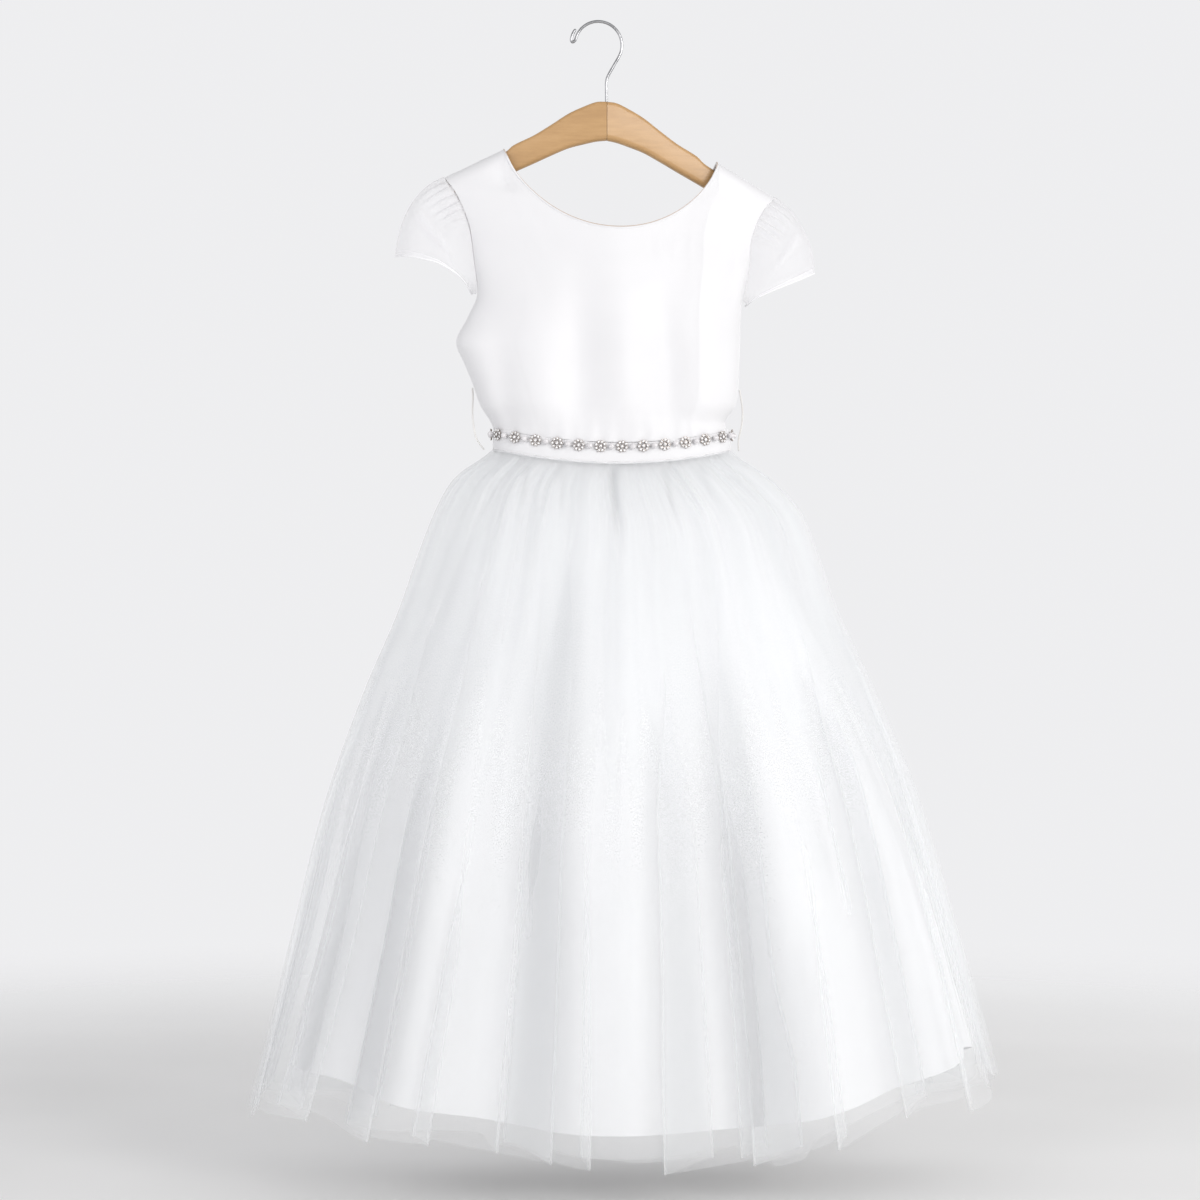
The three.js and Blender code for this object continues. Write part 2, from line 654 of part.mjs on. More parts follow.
const trimBase = SATIN / 2 + 0.8; // from the band's middle to the back of the trim
const trimReach = waistRound.whole / 2 - TRIM_END;
const trimTurns = [];
const TRIM_COLUMNS = 44;
for (let i = 0; i <= TRIM_COLUMNS; i += 1) {
  trimTurns.push(waistRound.turnAt(-trimReach + (2 * trimReach * i) / TRIM_COLUMNS));
}
const trimGrid = [-0.5, 0.5].map((share) =>
  trimTurns.map((turn) =>
    waistPoint(turn, trimBase + TRIM_THICK / 2, TRIM_DROP + share * TRIM_HIGH),
  ),
);
let trim = toManifold(wallSolid(trimGrid, TRIM_THICK));
const flowersPerSide = Math.floor((trimReach - FLOWER_RADIUS) / FLOWER_PITCH + 0.5);
const atFlower = (i) => FLOWER_START + i * FLOWER_PITCH;
for (let i = -flowersPerSide; i < flowersPerSide; i += 1) {
  const flower = new THREE.CylinderGeometry(0.6, 1, 1, 6);
  flower.rotateX(Math.PI / 2);
  flower.scale(FLOWER_RADIUS, FLOWER_RADIUS, FLOWER_THICK);
  flower.translate(0, 0, FLOWER_THICK / 2);
  standOnWaist(flower, atFlower(i + 0.5), trimBase + 0.4);
  trim = trim.add(toManifold(flower));
}
for (let i = 1 - flowersPerSide; i < flowersPerSide; i += 1) {
  const pearl = new THREE.CylinderGeometry(0.6, 1, 1, 5);
  pearl.rotateX(Math.PI / 2);
  pearl.scale(PEARL_RADIUS, PEARL_RADIUS, 2 * PEARL_RADIUS - 0.6);
  pearl.translate(0, 0, PEARL_RADIUS - 0.3);
  standOnWaist(pearl, atFlower(i), trimBase + 0.3);
  trim = trim.add(toManifold(pearl));
}
piece("bead_trim", fromManifold(trim), beads);

// ---- skirt --------------------------------------------------------------------------
const skirtRound = roundTable({ half: 290, front: 124, back: 68 });

// The large folds at a turn: cosine waves whose crests are the rows of the table.
function fluteAt(turn) {
  const last = FLUTES.length - 1;
  let i = FLUTES.findIndex((flute) => flute.turn > turn) - 1;
  if (i < 0) i = last;
  const a = FLUTES[i];
  const b = FLUTES[(i + 1) % FLUTES.length];
  const span = (b.turn - a.turn + 360) % 360;
  const w = ((turn - a.turn + 360) % 360) / span;
  return lerp(a.out, b.out, w) * Math.cos(2 * Math.PI * w);
}

// Gathers aren't even: this moves a place round the waist a little to and fro.
const uneven = (place) =>
  place +
  0.0042 * Math.sin(2 * Math.PI * 5 * place + 1.3) +
  0.0028 * Math.sin(2 * Math.PI * 11 * place + 0.4);

// A point of a skirt layer: `place` is the share of the way round from the centre front,
// -0.5 to 0.5, and `t` runs from the waist to the hem.
function skirtPoint(layer, place, t) {
  const turn = skirtRound.turnAt(place * skirtRound.whole);
  const inside = lerp(layer.near, layer.far, t ** 0.7);
  const across = (name) => read(layer.table, "t", t, name);
  const section = {
    half: across("half") - inside,
    front: across("front") - inside,
    back: across("back") - inside,
  };
  const spot = oval(turn, section);
  const wave = uneven(place);
  const flute = layer.flute * fluteAt(turn) * smoothstep(t, 0.06, 0.8);
  const gatherSize = layer.gather * (1 + 5 * t) * (1 - smoothstep(t, 0.1, 0.42));
  const gather = gatherSize * Math.cos(2 * Math.PI * GATHERS * wave);
  const atSide = Math.abs(Math.sin(degToRad(turn))) ** 6;
  const rippleSize = layer.ripple * smoothstep(t, 0.08, 0.4) * (1 - 0.4 * atSide);
  const ripple = rippleSize * Math.cos(2 * Math.PI * RIPPLES * wave);
  const out = flute + gather + ripple;
  const atBack = Math.cos(degToRad(turn)) < 0;
  const seam = bandTop(spot.x / section.half, atBack) + BAND_HIGH + SEAM;
  const reach = read(HEM, "turn", turn, layer.hem) * layer.long;
  return hungPoint(
    spot.x + spot.out.x * out + across("shift"),
    spot.y + spot.out.y * out,
    seam + reach * t,
  );
}

LAYERS.forEach((layer) => {
  const grid = layer.rows.map((t) => {
    const line = [];
    for (let i = 0; i < layer.columns; i += 1) {
      line.push(skirtPoint(layer, i / layer.columns - 0.5, t));
    }
    return line;
  });
  const square = (normal, row) => {
    if (row === 0) normal.z = 0;
  };
  const material = layer.table === LINING ? satin : tulle;
  piece(layer.name, wallSolid(grid, layer.wall, { closed: true, square }), material);
});

// ---- tubes: hook and belt loops -----------------------------------------------------
function tube(points, radius, sides, steps) {
  const corners = [];
  for (let i = 0; i < sides; i += 1) {
    const angle = (2 * Math.PI * i) / sides;
    corners.push(new THREE.Vector2(radius * Math.cos(angle), radius * Math.sin(angle)));
  }
  return new THREE.ExtrudeGeometry(new THREE.Shape(corners), {
    steps,
    bevelEnabled: false,
    extrudePath: new THREE.CatmullRomCurve3(points),
  });
}

// A thin cord loop at each side seam, to carry a sash.
[-1, 1].forEach((hand) => {
  const points = [
    [halfAt(hand, 366) + 2.4, 366],
    [halfAt(hand, 376) + 5.2, 376],
    [halfAt(hand, 383) + 8.5, 389],
    [halfAt(hand, 383) + 7.5, 402],
    [halfAt(hand, 383) + 4.5, 416],
    [WAIST.half + 9.5, 427],
  ].map(([x, drop]) => new THREE.Vector3(hand * x, 2, -drop));
  const name = hand < 0 ? "belt_loop_left" : "belt_loop_right";
  piece(name, tube(points, LOOP_RADIUS, 6, 8), cord);
});

// ---- buttons at the centre back -----------------------------------------------------
BUTTON_DROPS.forEach((drop, i) => {
  const profile = [
    new THREE.Vector2(0, 0),
    new THREE.Vector2(BUTTON_RADIUS * 0.86, 0),
    new THREE.Vector2(BUTTON_RADIUS, BUTTON_HIGH * 0.35),
    new THREE.Vector2(BUTTON_RADIUS * 0.72, BUTTON_HIGH * 0.8),
    new THREE.Vector2(0, BUTTON_HIGH),
  ];
  const geometry = new THREE.LatheGeometry(profile, 10);
  const onBand = drop > BAND_TOP;
  const spot = onBand
    ? oval(180 - 4, WAIST)
    : bodicePoint(BUTTON_X / halfAt(-1, drop), drop, true);
  const button = piece(`button_${i + 1}`, geometry, satin);
  button.position.set(BUTTON_X, spot.y + SATIN / 2 + SEAM, -tilted(BUTTON_X, drop));
});

// ---- hanger -------------------------------------------------------------------------
// Each arm is a bar with rounded edges whose sections stand on the rows of its table.
const CORNER = 4;
const ARM_SECTION = [
  [-1, 1, 0, -1],
  [-1, 1, 1, 0],
  [1, 1, -1, 0],
  [1, 1, 0, -1],
  [1, -1, 0, 1],
  [1, -1, -1, 0],
  [-1, -1, 1, 0],
  [-1, -1, 0, 1],
];
[-1, 1].forEach((hand) => {
  const positions = [];
  ARM.forEach(({ x, top, bottom }) => {
    const middle = (top + bottom) / 2;
    const halfHigh = (bottom - top) / 2;
    const atEnd = x === ARM_END ? 0.62 : 1;
    const halfThick = (ARM_THICK / 2) * atEnd;
    ARM_SECTION.forEach(([acrossY, acrossZ, cutY, cutZ]) => {
      const y = acrossY * halfThick + cutY * CORNER * atEnd;
      const z = acrossZ * halfHigh + cutZ * CORNER * 0.8;
      const point = new THREE.Vector3(hand * x, SWEEP * x + y, -middle + z);
      positions.push(point.x, point.y, point.z - TILT * point.x);
    });
  });
  const sides = ARM_SECTION.length;
  const index = [];
  const quad = (a, b, c, d) => index.push(a, b, c, a, c, d);
  for (let r = 0; r < ARM.length - 1; r += 1) {
    for (let c = 0; c < sides; c += 1) {
      const d = (c + 1) % sides;
      quad(r * sides + c, r * sides + d, (r + 1) * sides + d, (r + 1) * sides + c);
    }
  }
  const end = (ARM.length - 1) * sides;
  for (let c = 1; c < sides - 1; c += 1) {
    index.push(0, c + 1, c, end, end + c, end + c + 1);
  }
  const geometry = new THREE.BufferGeometry();
  geometry.setAttribute("position", new THREE.Float32BufferAttribute(positions, 3));
  geometry.setIndex(index);
  const name = hand < 0 ? "hanger_arm_left" : "hanger_arm_right";
  piece(name, facingOut(geometry), lightWood, hanger);
});

// The hook: a straight stem, a slant, a round crown and a short turned-back end.
const crown = new THREE.Vector3(-HANGER_X, 0, WIRE - HOOK_RADIUS);
const onCrown = (degrees, radius = HOOK_RADIUS) =>
  new THREE.Vector3(
    crown.x + radius * Math.cos(degToRad(degrees)),
    0,
    crown.z + radius * Math.sin(degToRad(degrees)),
  );
const hookPoints = [
  new THREE.Vector3(0, 0, -ARM[0].top + SEAM),
  new THREE.Vector3(0, 0, -68),
  new THREE.Vector3(0, 0, -59),
  new THREE.Vector3(1.6, 0, -53),
  new THREE.Vector3(6.8, 0, -43.5),
];
for (let degrees = -27; degrees <= 165; degrees += 16) hookPoints.push(onCrown(degrees));
hookPoints.push(onCrown(171, HOOK_RADIUS + 0.6));
hookPoints.push(onCrown(174.5, HOOK_RADIUS + 2.6));
hookPoints.push(onCrown(170, HOOK_RADIUS + 4.2));
hookPoints.push(onCrown(158, HOOK_RADIUS + 4.4));
hookPoints.push(onCrown(146, HOOK_RADIUS + 4.2));
piece("hook", tube(hookPoints, WIRE, 8, 40), wire, hanger);

export default whole;
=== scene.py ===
"""A girl's dress on a hanger: satin bodice, organza cap sleeves, beaded band, tulle skirt.

Sizes are millimetres until a mesh is made. The front faces -Y. `drop` is a distance below
the origin, inside the hook's crown, and `turn` an angle round the body: 0 is the centre
front, 90 the right side and 180 the centre back. The tables are those of the CAD solids.
"""

import math

import bmesh
import bpy
import numpy as np
from mathutils import Matrix, Vector


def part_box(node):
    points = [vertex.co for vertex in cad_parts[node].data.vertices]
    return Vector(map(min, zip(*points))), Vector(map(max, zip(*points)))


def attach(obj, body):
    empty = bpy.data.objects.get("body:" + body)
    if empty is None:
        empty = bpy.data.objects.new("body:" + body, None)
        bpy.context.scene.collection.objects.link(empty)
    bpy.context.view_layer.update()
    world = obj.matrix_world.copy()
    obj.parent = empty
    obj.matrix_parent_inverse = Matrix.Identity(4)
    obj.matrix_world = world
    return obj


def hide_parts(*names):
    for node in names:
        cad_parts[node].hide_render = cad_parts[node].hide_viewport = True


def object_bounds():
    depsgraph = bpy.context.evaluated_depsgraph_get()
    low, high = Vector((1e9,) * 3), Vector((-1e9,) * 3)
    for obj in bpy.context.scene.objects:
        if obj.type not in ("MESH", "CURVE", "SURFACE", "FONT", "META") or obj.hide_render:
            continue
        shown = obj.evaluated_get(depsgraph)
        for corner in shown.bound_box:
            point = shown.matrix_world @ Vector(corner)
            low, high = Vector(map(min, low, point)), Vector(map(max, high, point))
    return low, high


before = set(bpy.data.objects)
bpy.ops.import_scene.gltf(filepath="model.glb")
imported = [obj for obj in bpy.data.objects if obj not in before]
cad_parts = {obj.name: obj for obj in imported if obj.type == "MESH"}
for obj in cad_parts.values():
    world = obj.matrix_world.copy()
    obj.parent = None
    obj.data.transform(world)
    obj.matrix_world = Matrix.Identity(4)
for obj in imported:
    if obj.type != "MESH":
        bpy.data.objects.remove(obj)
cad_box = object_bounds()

MM = 0.001
SEED = 20

# ---- driving dimensions ----
HANGER_X = 8  # the hanger's middle stands this far right of the hook's crown
DRESS_X = 5.5  # the dress's middle stands this far right of the hanger's
TILT, TILT_TOP, TILT_END = 0.048, 165, 345
SEAM = 0.4
NECK_HALF, NECK_DROP = 107.5, 131
FRONT_SCOOP, BACK_VEE = 76, 200
SHOULDER_HALF, SHOULDER_SLOPE, SHOULDER_ROUND, CENTRE_ROUND = 166, 0.52, 14, 25
UNDERARM_DROP = 276
SQUARE = 2.4
BAND_TOP, BAND_HIGH, BAND_SAG, BAND_SAG_BACK = 408, 21, 14, 4
WAIST = {"half": 118.5, "front": 50, "back": 45}
FLOWER_PITCH, FLOWER_START = 21.2, -5.5
FLOWER_RADIUS, PEARL_RADIUS = 5.9, 3
TRIM_DROP, TRIM_END = 4, 13
GATHERS, RIPPLES = 22, 20
ARM_END, ARM_THICK, SWEEP = 151, 13, 0.15
WIRE, HOOK_RADIUS = 1.5, 23.5
SATIN_WALL, LINING_WALL = 1.1, 0.8

BODICE = {
    "drop": [125, 161, 175, 190, 211, 239, 274, 297, 320, 341, 362, 383, 399, 409, 422],
    "left": [166, 166, 157, 149, 141.5, 137.5, 134, 144, 155, 147, 138.5, 131, 121, 117.5, 118.5],
    "right": [166, 166, 155, 147, 140.5, 138, 131.5, 129.5, 129, 128, 127, 123.5, 113, 116, 118.5],
    "front": [18, 20, 23, 25, 28, 33, 38, 41, 44, 47, 50, 52, 51.5, 50.5, 50],
    "back": [16, 17, 19, 21, 24, 27, 32, 35, 37, 39, 41, 43, 44, 45, 45],
    "shut": [0.86, 0.88, 0.9, 0.92, 0.95, 0.98, 1, 1, 1, 1, 1, 1, 1, 1, 1],
    "sweep": [0.15, 0.15, 0.14, 0.13, 0.11, 0.08, 0.05, 0.04, 0.03, 0.02, 0.01, 0, 0, 0, 0],
}
# top, bottom: where a soft fold passes; deep: a ridge is negative; wide; from, to: drops
DRAPES = [
    (-34, -34, 8, 20, 215, 425),
    (48, 54, 7, 17, 235, 425),
    (-84, -76, -3, 20, 250, 425),
    (6, 9, -3.5, 18, 235, 425),
    (92, 88, -3.5, 16, 255, 420),
    (-122, -104, 3, 13, 275, 425),
    (140, 112, 4.5, 12, 165, 290),
    (-112, -104, 2.5, 11, 134, 178),
]
BACK_DRAPES = [
    (64, 72, 4, 17, 290, 425),
    (-70, -60, 3.5, 18, 300, 425),
    (34, 38, 2, 11, 330, 425),
    (-30, -38, 2.5, 12, 340, 425),
    (112, 92, 3, 12, 190, 330),
    (-116, -94, 3, 13, 185, 320),
]
SKIRT = {
    "t": [0, 0.02, 0.045, 0.09, 0.15, 0.25, 0.37, 0.54, 0.75, 1],
    "half": [120, 139, 159, 182, 198, 220, 253, 293, 329, 372],
    "front": [51, 62, 71, 82, 92, 103, 113, 126, 139, 152],
    "back": [46, 50, 53, 56, 59, 62, 65, 69, 73, 78],
    "shift": [0, 0, 1.5, 6.5, 7, 6.5, 7, 10, 13, 13.5],
}
LINING = {
    "t": [0, 0.07, 0.21, 0.42, 0.6, 0.8, 1],
    "half": [110.5, 127, 166, 227, 272, 309, 343],
    "front": [41, 52, 71, 90, 103, 114, 125],
    "back": [36, 39, 43, 47, 50, 52, 54],
    "shift": [0, 2, 6, 11, 14, 18, 20.5],
}
HEM = {
    "turn": [-180, -125, -90, -75, -60, -48, -25, -14, -5, 14, 28, 50, 72, 90, 125, 180],
    "tulle": [664, 648, 637, 634, 637, 643, 654, 659, 673, 674, 652, 634, 620, 628, 648, 664],
    "lining": [632, 618, 607, 602, 607, 617, 634, 642, 645, 645, 634, 615, 595, 599, 618, 632],
}
FLUTES = {
    "turn": [-168, -134, -103, -71, -38, -4, 27, 62, 95, 128, 160],
    "out": [9, 10, 5, 8, 17, 19, 16, 11, 5, 9, 10],
}
SLEEVE_HEM = {
    "side": [0, 0.14, 0.34, 0.58, 0.82, 1],
    "left": [216, 209, 194, 172, 151, 139.5],
    "leftDrop": [239.5, 240.5, 243, 248.5, 260, 273],
    "right": [208, 203, 188, 167, 145, 136.5],
    "rightDrop": [239.5, 243, 251, 261, 272, 279],
    "deep": [0, 17, 28, 31, 19, 0],
}
SLEEVE_PUFF = (21, 13, 16)
SLEEVE_BACK_LIFT, SLEEVE_SWEEP, SLEEVE_AXIS = 12, 0.1, 225
ARM = {
    "x": [0.2, 10, 23, 38, 54, 72, 93, 99, 108, 120, 134, 146, 151],
    "top": [79, 79.6, 84.8, 92.4, 103.4, 115.2, 126.4, 132, 137.4, 143.4, 150, 156.4, 162],
    "bottom": [117.7, 119, 122.4, 127, 134.4, 143.4, 153.6, 156.6, 161, 166.4, 172.8, 177.4, 176],
}
# Folds of the tulle that lie over themselves: turn at the waist and at the hem, the
# stretch they cover, how far the cloth doubles back (negative: to the right), half width.
FRONT_FOLDS = [
    (-68, -78, 0.25, 1.2, 17, 11),
    (-53, -61, 0.15, 1.2, 26, 14),
    (-38, -42, 0.08, 1.2, 24, 13),
    (-27, -30, 0.45, 1.2, 17, 12),
    (-20, -19.5, 0.10, 1.2, 18, 12),
    (-13, -12.5, 0.04, 1.2, 36, 15),
    (-6, -5, 0.40, 1.2, 15, 10),
    (6, 4.8, 0.22, 1.2, -33, 14),
    (13, 12, 0.10, 0.7, -15, 11),
    (20, 17, 0.15, 1.2, -31, 14),
    (30, 27, 0.50, 1.2, -16, 12),
    (48, 45, 0.18, 1.2, -27, 14),
    (60, 58, 0.35, 1.2, -16, 12),
    (74, 73, 0.20, 1.2, 16, 12),
]
HEM_STEP = 6  # how much lower one side of a fold hangs than the middle
# Scraps of the inner tulle that hang out: turn, how much longer, half width
SCRAPS = [(-15, 18, 24), (19.5, 16, 15)]
# Deep tucks of the tulle just below the band: turn, deep, half width, how far down
WAIST_TUCKS = [(-1, 9, 11, 0.15), (21, 7, 9, 0.12), (-23, 5, 9, 0.1), (-47, 6, 9, 0.12), (46, 5, 9, 0.1)]


# ---- helpers ----
def read(table, key, at, name):
    """A named column of a table, read smoothly at values of its key column."""
    xs = np.array(table[key], float)
    ys = np.array(table[name], float)
    slopes = np.empty_like(ys)
    slopes[1:-1] = (ys[2:] - ys[:-2]) / (xs[2:] - xs[:-2])
    slopes[0] = (ys[1] - ys[0]) / (xs[1] - xs[0])
    slopes[-1] = (ys[-1] - ys[-2]) / (xs[-1] - xs[-2])
    at = np.clip(at, xs[0], xs[-1])
    i = np.clip(np.searchsorted(xs, at) - 1, 0, len(xs) - 2)
    span = xs[i + 1] - xs[i]
    w = (at - xs[i]) / span
    start = slopes[i] * span * (w**3 - 2 * w**2 + w)
    end = slopes[i + 1] * span * (w**3 - w**2)
    return ys[i] * (2 * w**3 - 3 * w**2 + 1) + ys[i + 1] * (3 * w**2 - 2 * w**3) + start + end


def smoothstep(x, low, high):
    w = np.clip((np.asarray(x, float) - low) / (high - low), 0, 1)
    return w * w * (3 - 2 * w)


def lerp(a, b, w):
    return a + (b - a) * w


def signed_power(value, exponent):
    return np.sign(value) * np.abs(value) ** exponent


def waves(seed, low, high, count):
    """A smooth closed noise of place (0 to 1 once round), about -1 to 1."""
    rng = np.random.default_rng(seed)
    turns = rng.integers(low, high, count)
    phases = rng.uniform(0, 2 * math.pi, count)
    drifts = rng.uniform(-2.5, 2.5, count)
    sizes = rng.uniform(0.5, 1, count)
    sizes /= np.sqrt((sizes**2).sum())

    def at(place, t=0.0):
        total = 0
        for turn, phase, drift, size in zip(turns, phases, drifts, sizes):
            total = total + size * np.sin(2 * math.pi * turn * place + phase + drift * t)
        return total

    return at


def oval_depth(across):
    return np.maximum(0, 1 - np.abs(across) ** SQUARE) ** (1 / SQUARE)


def oval(turn, half, front, back):
    """Points of an oval section and the directions straight out of it."""
    sin, cos = np.sin(np.radians(turn)), np.cos(np.radians(turn))
    depth = np.where(cos > 0, front, back)
    x = half * signed_power(sin, 2 / SQUARE)
    y = -depth * signed_power(cos, 2 / SQUARE)
    out_x = signed_power(x / half, SQUARE - 1) / half
    out_y = signed_power(y / depth, SQUARE - 1) / depth
    size = np.hypot(out_x, out_y)
    return x, y, out_x / size, out_y / size


def tilted(x, drop):
    return drop + TILT * (x + DRESS_X) * (1 - smoothstep(drop, TILT_TOP, TILT_END))


def hung(x, y, drop):
    """Points of the dress in the row frame, in millimetres."""
    x, y, drop = np.broadcast_arrays(x, y, drop)
    return np.stack([x + HANGER_X + DRESS_X, y, -tilted(x, drop)], axis=-1)


def round_table(half, front, back, steps=2880):
    """Length round an oval and a function from signed distance to turn."""
    turns = np.linspace(-180, 180, steps + 1)
    x, y, _, _ = oval(turns, half, front, back)
    lengths = np.concatenate([[0], np.cumsum(np.hypot(np.diff(x), np.diff(y)))])
    middle = lengths[steps // 2]
    return lengths[-1], lambda distance: np.interp(distance + middle, lengths, turns)


def new_object(name, mesh, material):
    obj = bpy.data.objects.new(name, mesh)
    bpy.context.scene.collection.objects.link(obj)
    for each in material if isinstance(material, list) else [material]:
        mesh.materials.append(each)
    return obj


def on_the_cut(rows, columns, size):
    """Where each point of a grid lies on a flat cut of (width, length), in metres."""
    width, length = size
    v, u = np.meshgrid(np.linspace(0, length, rows), np.linspace(0, width, columns), indexing="ij")
    return np.stack([u, v], -1).reshape(-1, 2) * MM


def cells(rows, columns, closed=False):
    """The four corners of each cell of a grid of points, row by row."""
    for r in range(rows - 1):
        for c in range(columns if closed else columns - 1):
            a, b = r * columns + c, r * columns + (c + 1) % columns
            yield a, b, b + columns, a + columns


class Build:
    """Gathers vertices and faces in millimetres, with a material index and UVs in metres."""

    def __init__(self):
        self.points, self.faces, self.kinds, self.uvs, self.flat, self.doubled = [], [], [], [], [], []

    def add(self, points, faces, kind=0, uvs=None, flat=False, doubled=None):
        """`doubled` is how much denser than one layer the cloth is at each point."""
        start = len(self.points)
        self.points.extend(map(tuple, np.asarray(points, float)))
        self.doubled.extend(np.zeros(len(points)) if doubled is None else np.asarray(doubled).ravel())
        if uvs is None:
            uvs = np.asarray(points, float)[:, [0, 2]] * MM
        self.uvs.extend(map(tuple, uvs))
        for face in faces:
            self.faces.append([start + i for i in face])
            self.kinds.append(kind)
            self.flat.append(flat)

    def grid(self, grid, closed=False, kind=0, size=(1.0, 1.0), doubled=None):
        """A sheet over grid[row, column]; size is its cut, (width, length)."""
        rows, columns = grid.shape[:2]
        doubled = np.zeros((rows, columns)) if doubled is None else doubled
        if closed:
            grid = np.concatenate([grid, grid[:, :1]], axis=1)
            doubled = np.concatenate([doubled, doubled[:, :1]], axis=1)
            columns += 1
        faces = [(a, e, f, b) for a, b, f, e in cells(rows, columns)]
        self.add(grid.reshape(-1, 3), faces, kind, on_the_cut(rows, columns, size), doubled=doubled)

    def wall(self, grid, thickness, size, closed=False):
        """A sheet with two faces and a rim, `thickness` apart."""
        rows, columns = grid.shape[:2]
        sideways = np.roll(grid, -1, 1) - np.roll(grid, 1, 1) if closed else np.gradient(grid, axis=1)
        normal = np.cross(np.gradient(grid, axis=0), sideways)
        normal /= np.linalg.norm(normal, axis=-1)[..., None] + 1e-12
        uvs = on_the_cut(rows, columns, size)
        both = np.concatenate([grid + normal * thickness / 2, grid - normal * thickness / 2]).reshape(-1, 3)
        other = rows * columns
        faces = []
        for a, b, f, e in cells(rows, columns, closed):
            faces.append((a, e, f, b))
            faces.append((other + a, other + b, other + f, other + e))
        across = list(range(columns)) + ([0] if closed else [])
        rims = [[r * columns + c for c in across] for r in (0, rows - 1)]
        if not closed:
            rims += [[r * columns + c for r in range(rows)] for c in (0, columns - 1)]
        for rim in rims:
            for a, b in zip(rim, rim[1:]):
                faces.append((a, b, other + b, other + a))
        self.add(both, faces, uvs=np.concatenate([uvs, uvs]))

    def tube(self, path, radius, sides=8, kind=0, closed=False):
        """A tube along a path of points, with a radius for each or one for all."""
        path = np.asarray(path, float)
        radius = np.broadcast_to(np.asarray(radius, float), len(path))
        if closed:
            ahead = np.roll(path, -1, 0) - np.roll(path, 1, 0)
        else:
            ahead = np.gradient(path, axis=0)
        ahead /= np.linalg.norm(ahead, axis=1)[:, None] + 1e-12
        side = np.cross(ahead[0], [0.31, 0.17, 0.93])
        rings = []
        for point, way, r in zip(path, ahead, radius):
            side = side - way * side.dot(way)
            side /= np.linalg.norm(side)
            up = np.cross(way, side)
            angles = np.arange(sides) * 2 * math.pi / sides
            rings.append(point + r * (np.cos(angles)[:, None] * side + np.sin(angles)[:, None] * up))
        count = len(rings)
        total = count * sides
        faces = [tuple(i % total for i in cell) for cell in cells(count + closed, sides, True)]
        if not closed:
            faces.append(tuple(reversed(range(sides))))
            faces.append(tuple((count - 1) * sides + k for k in range(sides)))
        self.add(np.concatenate(rings), faces, kind)

    def finish(self, name, material, replaces=(), merge=True):
        mesh = bpy.data.meshes.new(name)
        mesh.from_pydata([tuple(c * MM for c in p) for p in self.points], [], self.faces)
        mesh.polygons.foreach_set("material_index", self.kinds)
        layer = mesh.uv_layers.new(name="cloth")
        corners = np.empty(len(mesh.loops), int)
        mesh.loops.foreach_get("vertex_index", corners)
        layer.data.foreach_set("uv", np.array(self.uvs, float)[corners].ravel())
        if np.any(self.doubled):
            mesh.attributes.new("doubled", "FLOAT", "POINT").data.foreach_set("value", self.doubled)
        obj = new_object(name, mesh, material)
        mesh.polygons.foreach_set("use_smooth", [not f for f in self.flat])
        if merge:
            edit = bmesh.new()
            edit.from_mesh(mesh)
            bmesh.ops.remove_doubles(edit, verts=edit.verts, dist=1e-6)
            bmesh.ops.recalc_face_normals(edit, faces=edit.faces)
            edit.to_mesh(mesh)
            edit.free()
        mesh.update()
        mesh.set_sharp_from_angle(angle=math.radians(70))
        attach(obj, "root")
        if replaces:
            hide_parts(*replaces)
        return obj


def smooth_path(points, steps=8):
    """Catmull-Rom points through a list of points."""
    points = np.asarray(points, float)
    padded = np.concatenate([[2 * points[0] - points[1]], points, [2 * points[-1] - points[-2]]])
    made = []
    for a, b, c, d in zip(padded, padded[1:], padded[2:], padded[3:]):
        bend, twist = 2 * a - 5 * b + 4 * c - d, 3 * b - a - 3 * c + d
        for w in np.arange(steps) / steps:
            made.append(0.5 * (2 * b + (c - a) * w + bend * w**2 + twist * w**3))
    made.append(points[-1])
    return np.array(made)


# ---- materials ----
TULLE_COVER = 0.19  # share that one layer of tulle hides where it lies flat
FLOAT_SCALE = 620  # scale of the waves that are the satin's floats, under a millimetre apart


class Nodes:
    """A few words for building a tree of shader nodes."""

    def __init__(self, tree):
        self.tree = tree

    def node(self, kind, inputs=None, **settings):
        made = self.tree.nodes.new("ShaderNode" + kind)
        for key, value in settings.items():
            setattr(made, key, value)
        for key, value in (inputs or {}).items():
            if isinstance(value, bpy.types.NodeSocket):
                self.tree.links.new(value, made.inputs[key])
            else:
                made.inputs[key].default_value = value
        return made

    def place(self, output, scale):
        coordinates = self.node("TexCoord")
        mapping = self.node("Mapping", {"Vector": coordinates.outputs[output], "Scale": scale})
        return mapping.outputs["Vector"]

    def noise(self, vector, scale, detail=3.0, rough=0.55):
        inputs = {"Vector": vector, "Scale": scale, "Detail": detail, "Roughness": rough}
        return self.node("TexNoise", inputs).outputs["Fac"]

    def bands(self, vector, scale, direction):
        inputs = {"Vector": vector, "Scale": scale}
        return self.node("TexWave", inputs, bands_direction=direction).outputs["Fac"]

    def math(self, operation, a, b=0.0):
        return self.node("Math", {0: a, 1: b}, operation=operation).outputs[0]

    def ramp(self, value, *stops):
        made = self.node("ValToRGB", {"Fac": value})
        elements = made.color_ramp.elements
        while len(elements) < len(stops):
            elements.new(0.5)
        for element, (at, color) in zip(elements, stops):
            element.position = at
            element.color = (*color, 1)
        return made.outputs["Color"]

    def span(self, value, low, high):
        return self.node("MapRange", {"Value": value, "To Min": low, "To Max": high}).outputs["Result"]

    def bump(self, height, distance, strength=1.0):
        inputs = {"Height": height, "Distance": distance, "Strength": strength}
        return self.node("Bump", inputs).outputs["Normal"]


